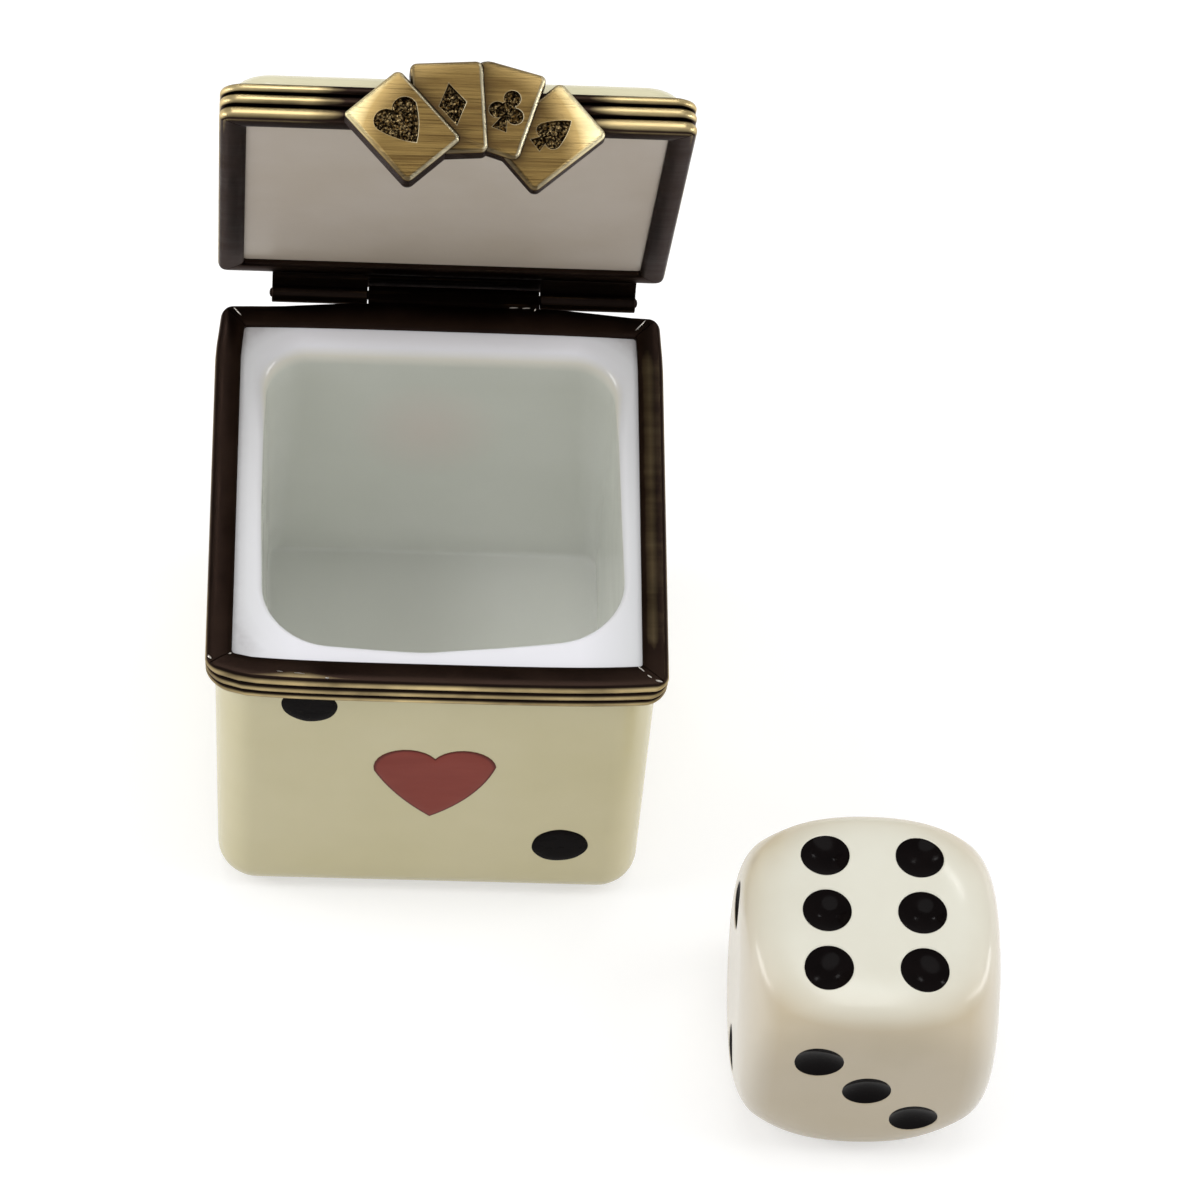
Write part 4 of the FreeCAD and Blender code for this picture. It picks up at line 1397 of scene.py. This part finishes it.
def make_die():
    """Loose die: a tumbled cube with a cup sunk at each pip."""
    points, faces = die_blank(DIE_STEPS)
    die = add_piece("die", ["die_body"], "die", points + DIE_MIDDLE, faces, [die_ivory()])
    tool = cup_tool()
    cut = die.modifiers.new("cups", "BOOLEAN")
    cut.operation, cut.solver, cut.object = "DIFFERENCE", "EXACT", tool
    bpy.context.view_layer.update()
    sunk = bpy.data.meshes.new_from_object(die.evaluated_get(bpy.context.evaluated_depsgraph_get()))
    die.modifiers.clear()
    die.data = sunk
    sunk.shade_smooth()
    sunk.set_sharp_from_angle(angle=math.radians(DIE_SHARP))
    bpy.data.objects.remove(tool)


def make_die_paint():
    """Black paint that lines each cup of the die."""
    parts = []
    for spot, outward in die_cups():
        radius = DIE_PIP_RADIUS * PAINT_WIDTH
        top = cap(radius, DIE_PIP_DEPTH * PAINT_TOP, PAINT_STEPS)[1:]
        bottom = cap(radius, DIE_PIP_DEPTH * PAINT_UNDERSIDE, PAINT_STEPS)[1:-1][::-1]
        rings = cup_rings(spot, outward, [(out, depth + PAINT_SUNK) for out, depth in top + bottom])
        faces = loft_faces(len(top + bottom), CUP_POINTS, closed=False)
        parts.append((rings, faces, np.zeros(len(rings))))
    points, faces, _ = joined(parts)
    paint = black_enamel("die_black", 0.08, 0.04)
    add_piece("die_paint", ["die_pips"], "die", points, faces, [paint])


# Camera and stage

CAMERA_YAW = 5.683
CAMERA_ELEVATION = 54.74
CAMERA_ROLL = 6.286
CAMERA_AIM = Vector((0, 0, 20))
CAMERA_SHIFT = (-16.54, -2.493)
CAMERA_DISTANCE = 598.492
FOCAL_PIXELS = 6059.707
FRAME_PIXELS = 1200
SENSOR = 36.0


def make_camera():
    """Camera at the photograph's place: aimed at a point above the foot, moved aside, then rolled."""
    rise, roll = math.radians(CAMERA_ELEVATION), math.radians(CAMERA_ROLL)
    right, up = Vector((1, 0, 0)), Vector((0, math.sin(rise), math.cos(rise)))
    forward = Vector((0, math.cos(rise), -math.sin(rise)))
    spot = CAMERA_AIM - right * CAMERA_SHIFT[0] - up * CAMERA_SHIFT[1] - forward * CAMERA_DISTANCE
    rolled_right = right * math.cos(roll) + up * math.sin(roll)
    rolled_up = up * math.cos(roll) - right * math.sin(roll)
    pose = Matrix((rolled_right, rolled_up, -forward)).transposed().to_4x4()
    pose.translation = spot * MM
    data = bpy.data.cameras.new("camera")
    data.sensor_width = SENSOR
    data.lens = FOCAL_PIXELS * SENSOR / FRAME_PIXELS
    data.clip_start = 0.01
    camera = new_object("camera", data)
    camera.matrix_world = Matrix.Rotation(math.radians(-CAMERA_YAW), 4, "Z") @ pose
    bpy.context.scene.camera = camera


# Stage, in metres
FLOOR_HALF = 3.0
FLOOR_LEVEL = -0.00002
FLOOR_COLOR = 0.6
FLOOR_GLOW = 0.5
WORLD_LIGHT = 0.42
LAMP_AIM = (0.01, 0, 0.03)
# Place, width and height, lean in degrees and power of each lamp, and whether it shows in reflections
LAMPS = {
    "overhead": ((0.02, 0.05, 0.85), (0.5, 0.5), 0, 1.35, True),
    "back_left": ((-0.11, 0.36, 0.47), (0.05, 0.05), 0, 0.12, True),
    "back_right": ((0.24, 0.36, 0.47), (0.05, 0.05), 0, 0.09, True),
    "left_strip": ((-0.52, 0.03, 0.22), (0.5, 0.1), 40, 0.7, True),
    "right_strip": ((0.60, 0.03, 0.22), (0.5, 0.1), -40, 0.7, True),
    "left_high": ((-0.50, -0.02, 0.55), (0.45, 0.45), 0, 1.25, False),
    "right_high": ((0.52, -0.02, 0.55), (0.45, 0.45), 0, 1.25, False),
    "front_fill": ((0.0, -0.75, 0.45), (0.6, 0.6), 0, 0.75, False),
}


def seen_directly(look):
    """1 for what the camera, a mirror or clear glass sees, 0 for light that falls on the object."""
    path = look.node("LightPath").outputs
    seen = look.sums("MAXIMUM", path["Is Camera Ray"], path["Is Glossy Ray"])
    return look.sums("MAXIMUM", seen, path["Is Transmission Ray"])


def make_floor():
    """Plain white floor that keeps a soft shadow."""
    mesh = bpy.data.meshes.new("floor")
    signs = ((-1, -1), (1, -1), (1, 1), (-1, 1))
    mesh.from_pydata([(x * FLOOR_HALF, y * FLOOR_HALF, FLOOR_LEVEL) for x, y in signs], [], [(0, 1, 2, 3)])
    look = Finish("floor_white", Roughness=0.9, Specular_IOR_Level=0.0, Emission_Color=(1, 1, 1, 1),
                  Base_Color=(FLOOR_COLOR, FLOOR_COLOR, FLOOR_COLOR, 1))
    look.feed("Emission Strength", look.sums("MULTIPLY", seen_directly(look), FLOOR_GLOW))
    mesh.materials.append(look.material)
    new_object("floor", mesh)


def make_lights():
    """Even sky, soft lamps overhead, high at the sides and in front, and small ones behind and aside."""
    world = bpy.data.worlds.new("studio")
    bpy.context.scene.world = world
    world.use_nodes = True
    background = world.node_tree.nodes["Background"]
    background.inputs["Color"].default_value = (1.0, 1.0, 1.0, 1)
    background.inputs["Strength"].default_value = WORLD_LIGHT
    for name, (spot, size, lean, power, mirrored) in LAMPS.items():
        data = bpy.data.lights.new(name, "AREA")
        data.shape, data.energy = "ELLIPSE", power
        data.size, data.size_y = size
        lamp = new_object(name, data)
        lamp.location = spot
        lamp.visible_glossy = mirrored
        aim = (Vector(LAMP_AIM) - Vector(spot)).to_track_quat("-Z", "Y")
        lamp.rotation_euler = (aim @ Quaternion((0, 0, 1), math.radians(lean))).to_euler()


bezel_material = bezel_bronze()
hinge_material = hinge_bronze()
clasp_material = clasp_brass()
enamel_material = black_enamel("black_enamel", 0.24, 0.015)

make_cup()
make_lid()
make_bezel("rim_bezel", "base_bezel", "box", SEAM, -1)
make_bezel("cover_bezel", "lid_bezel", "lid", LID_SEAM, 1)
make_solder()
make_hinge()
make_clasp()
make_heart()
for painted in PAINTED_FACES:
    make_pips(*painted)
make_die()
make_die_paint()
make_camera()
make_floor()
make_lights()
bpy.context.scene.view_settings.view_transform = "Standard"
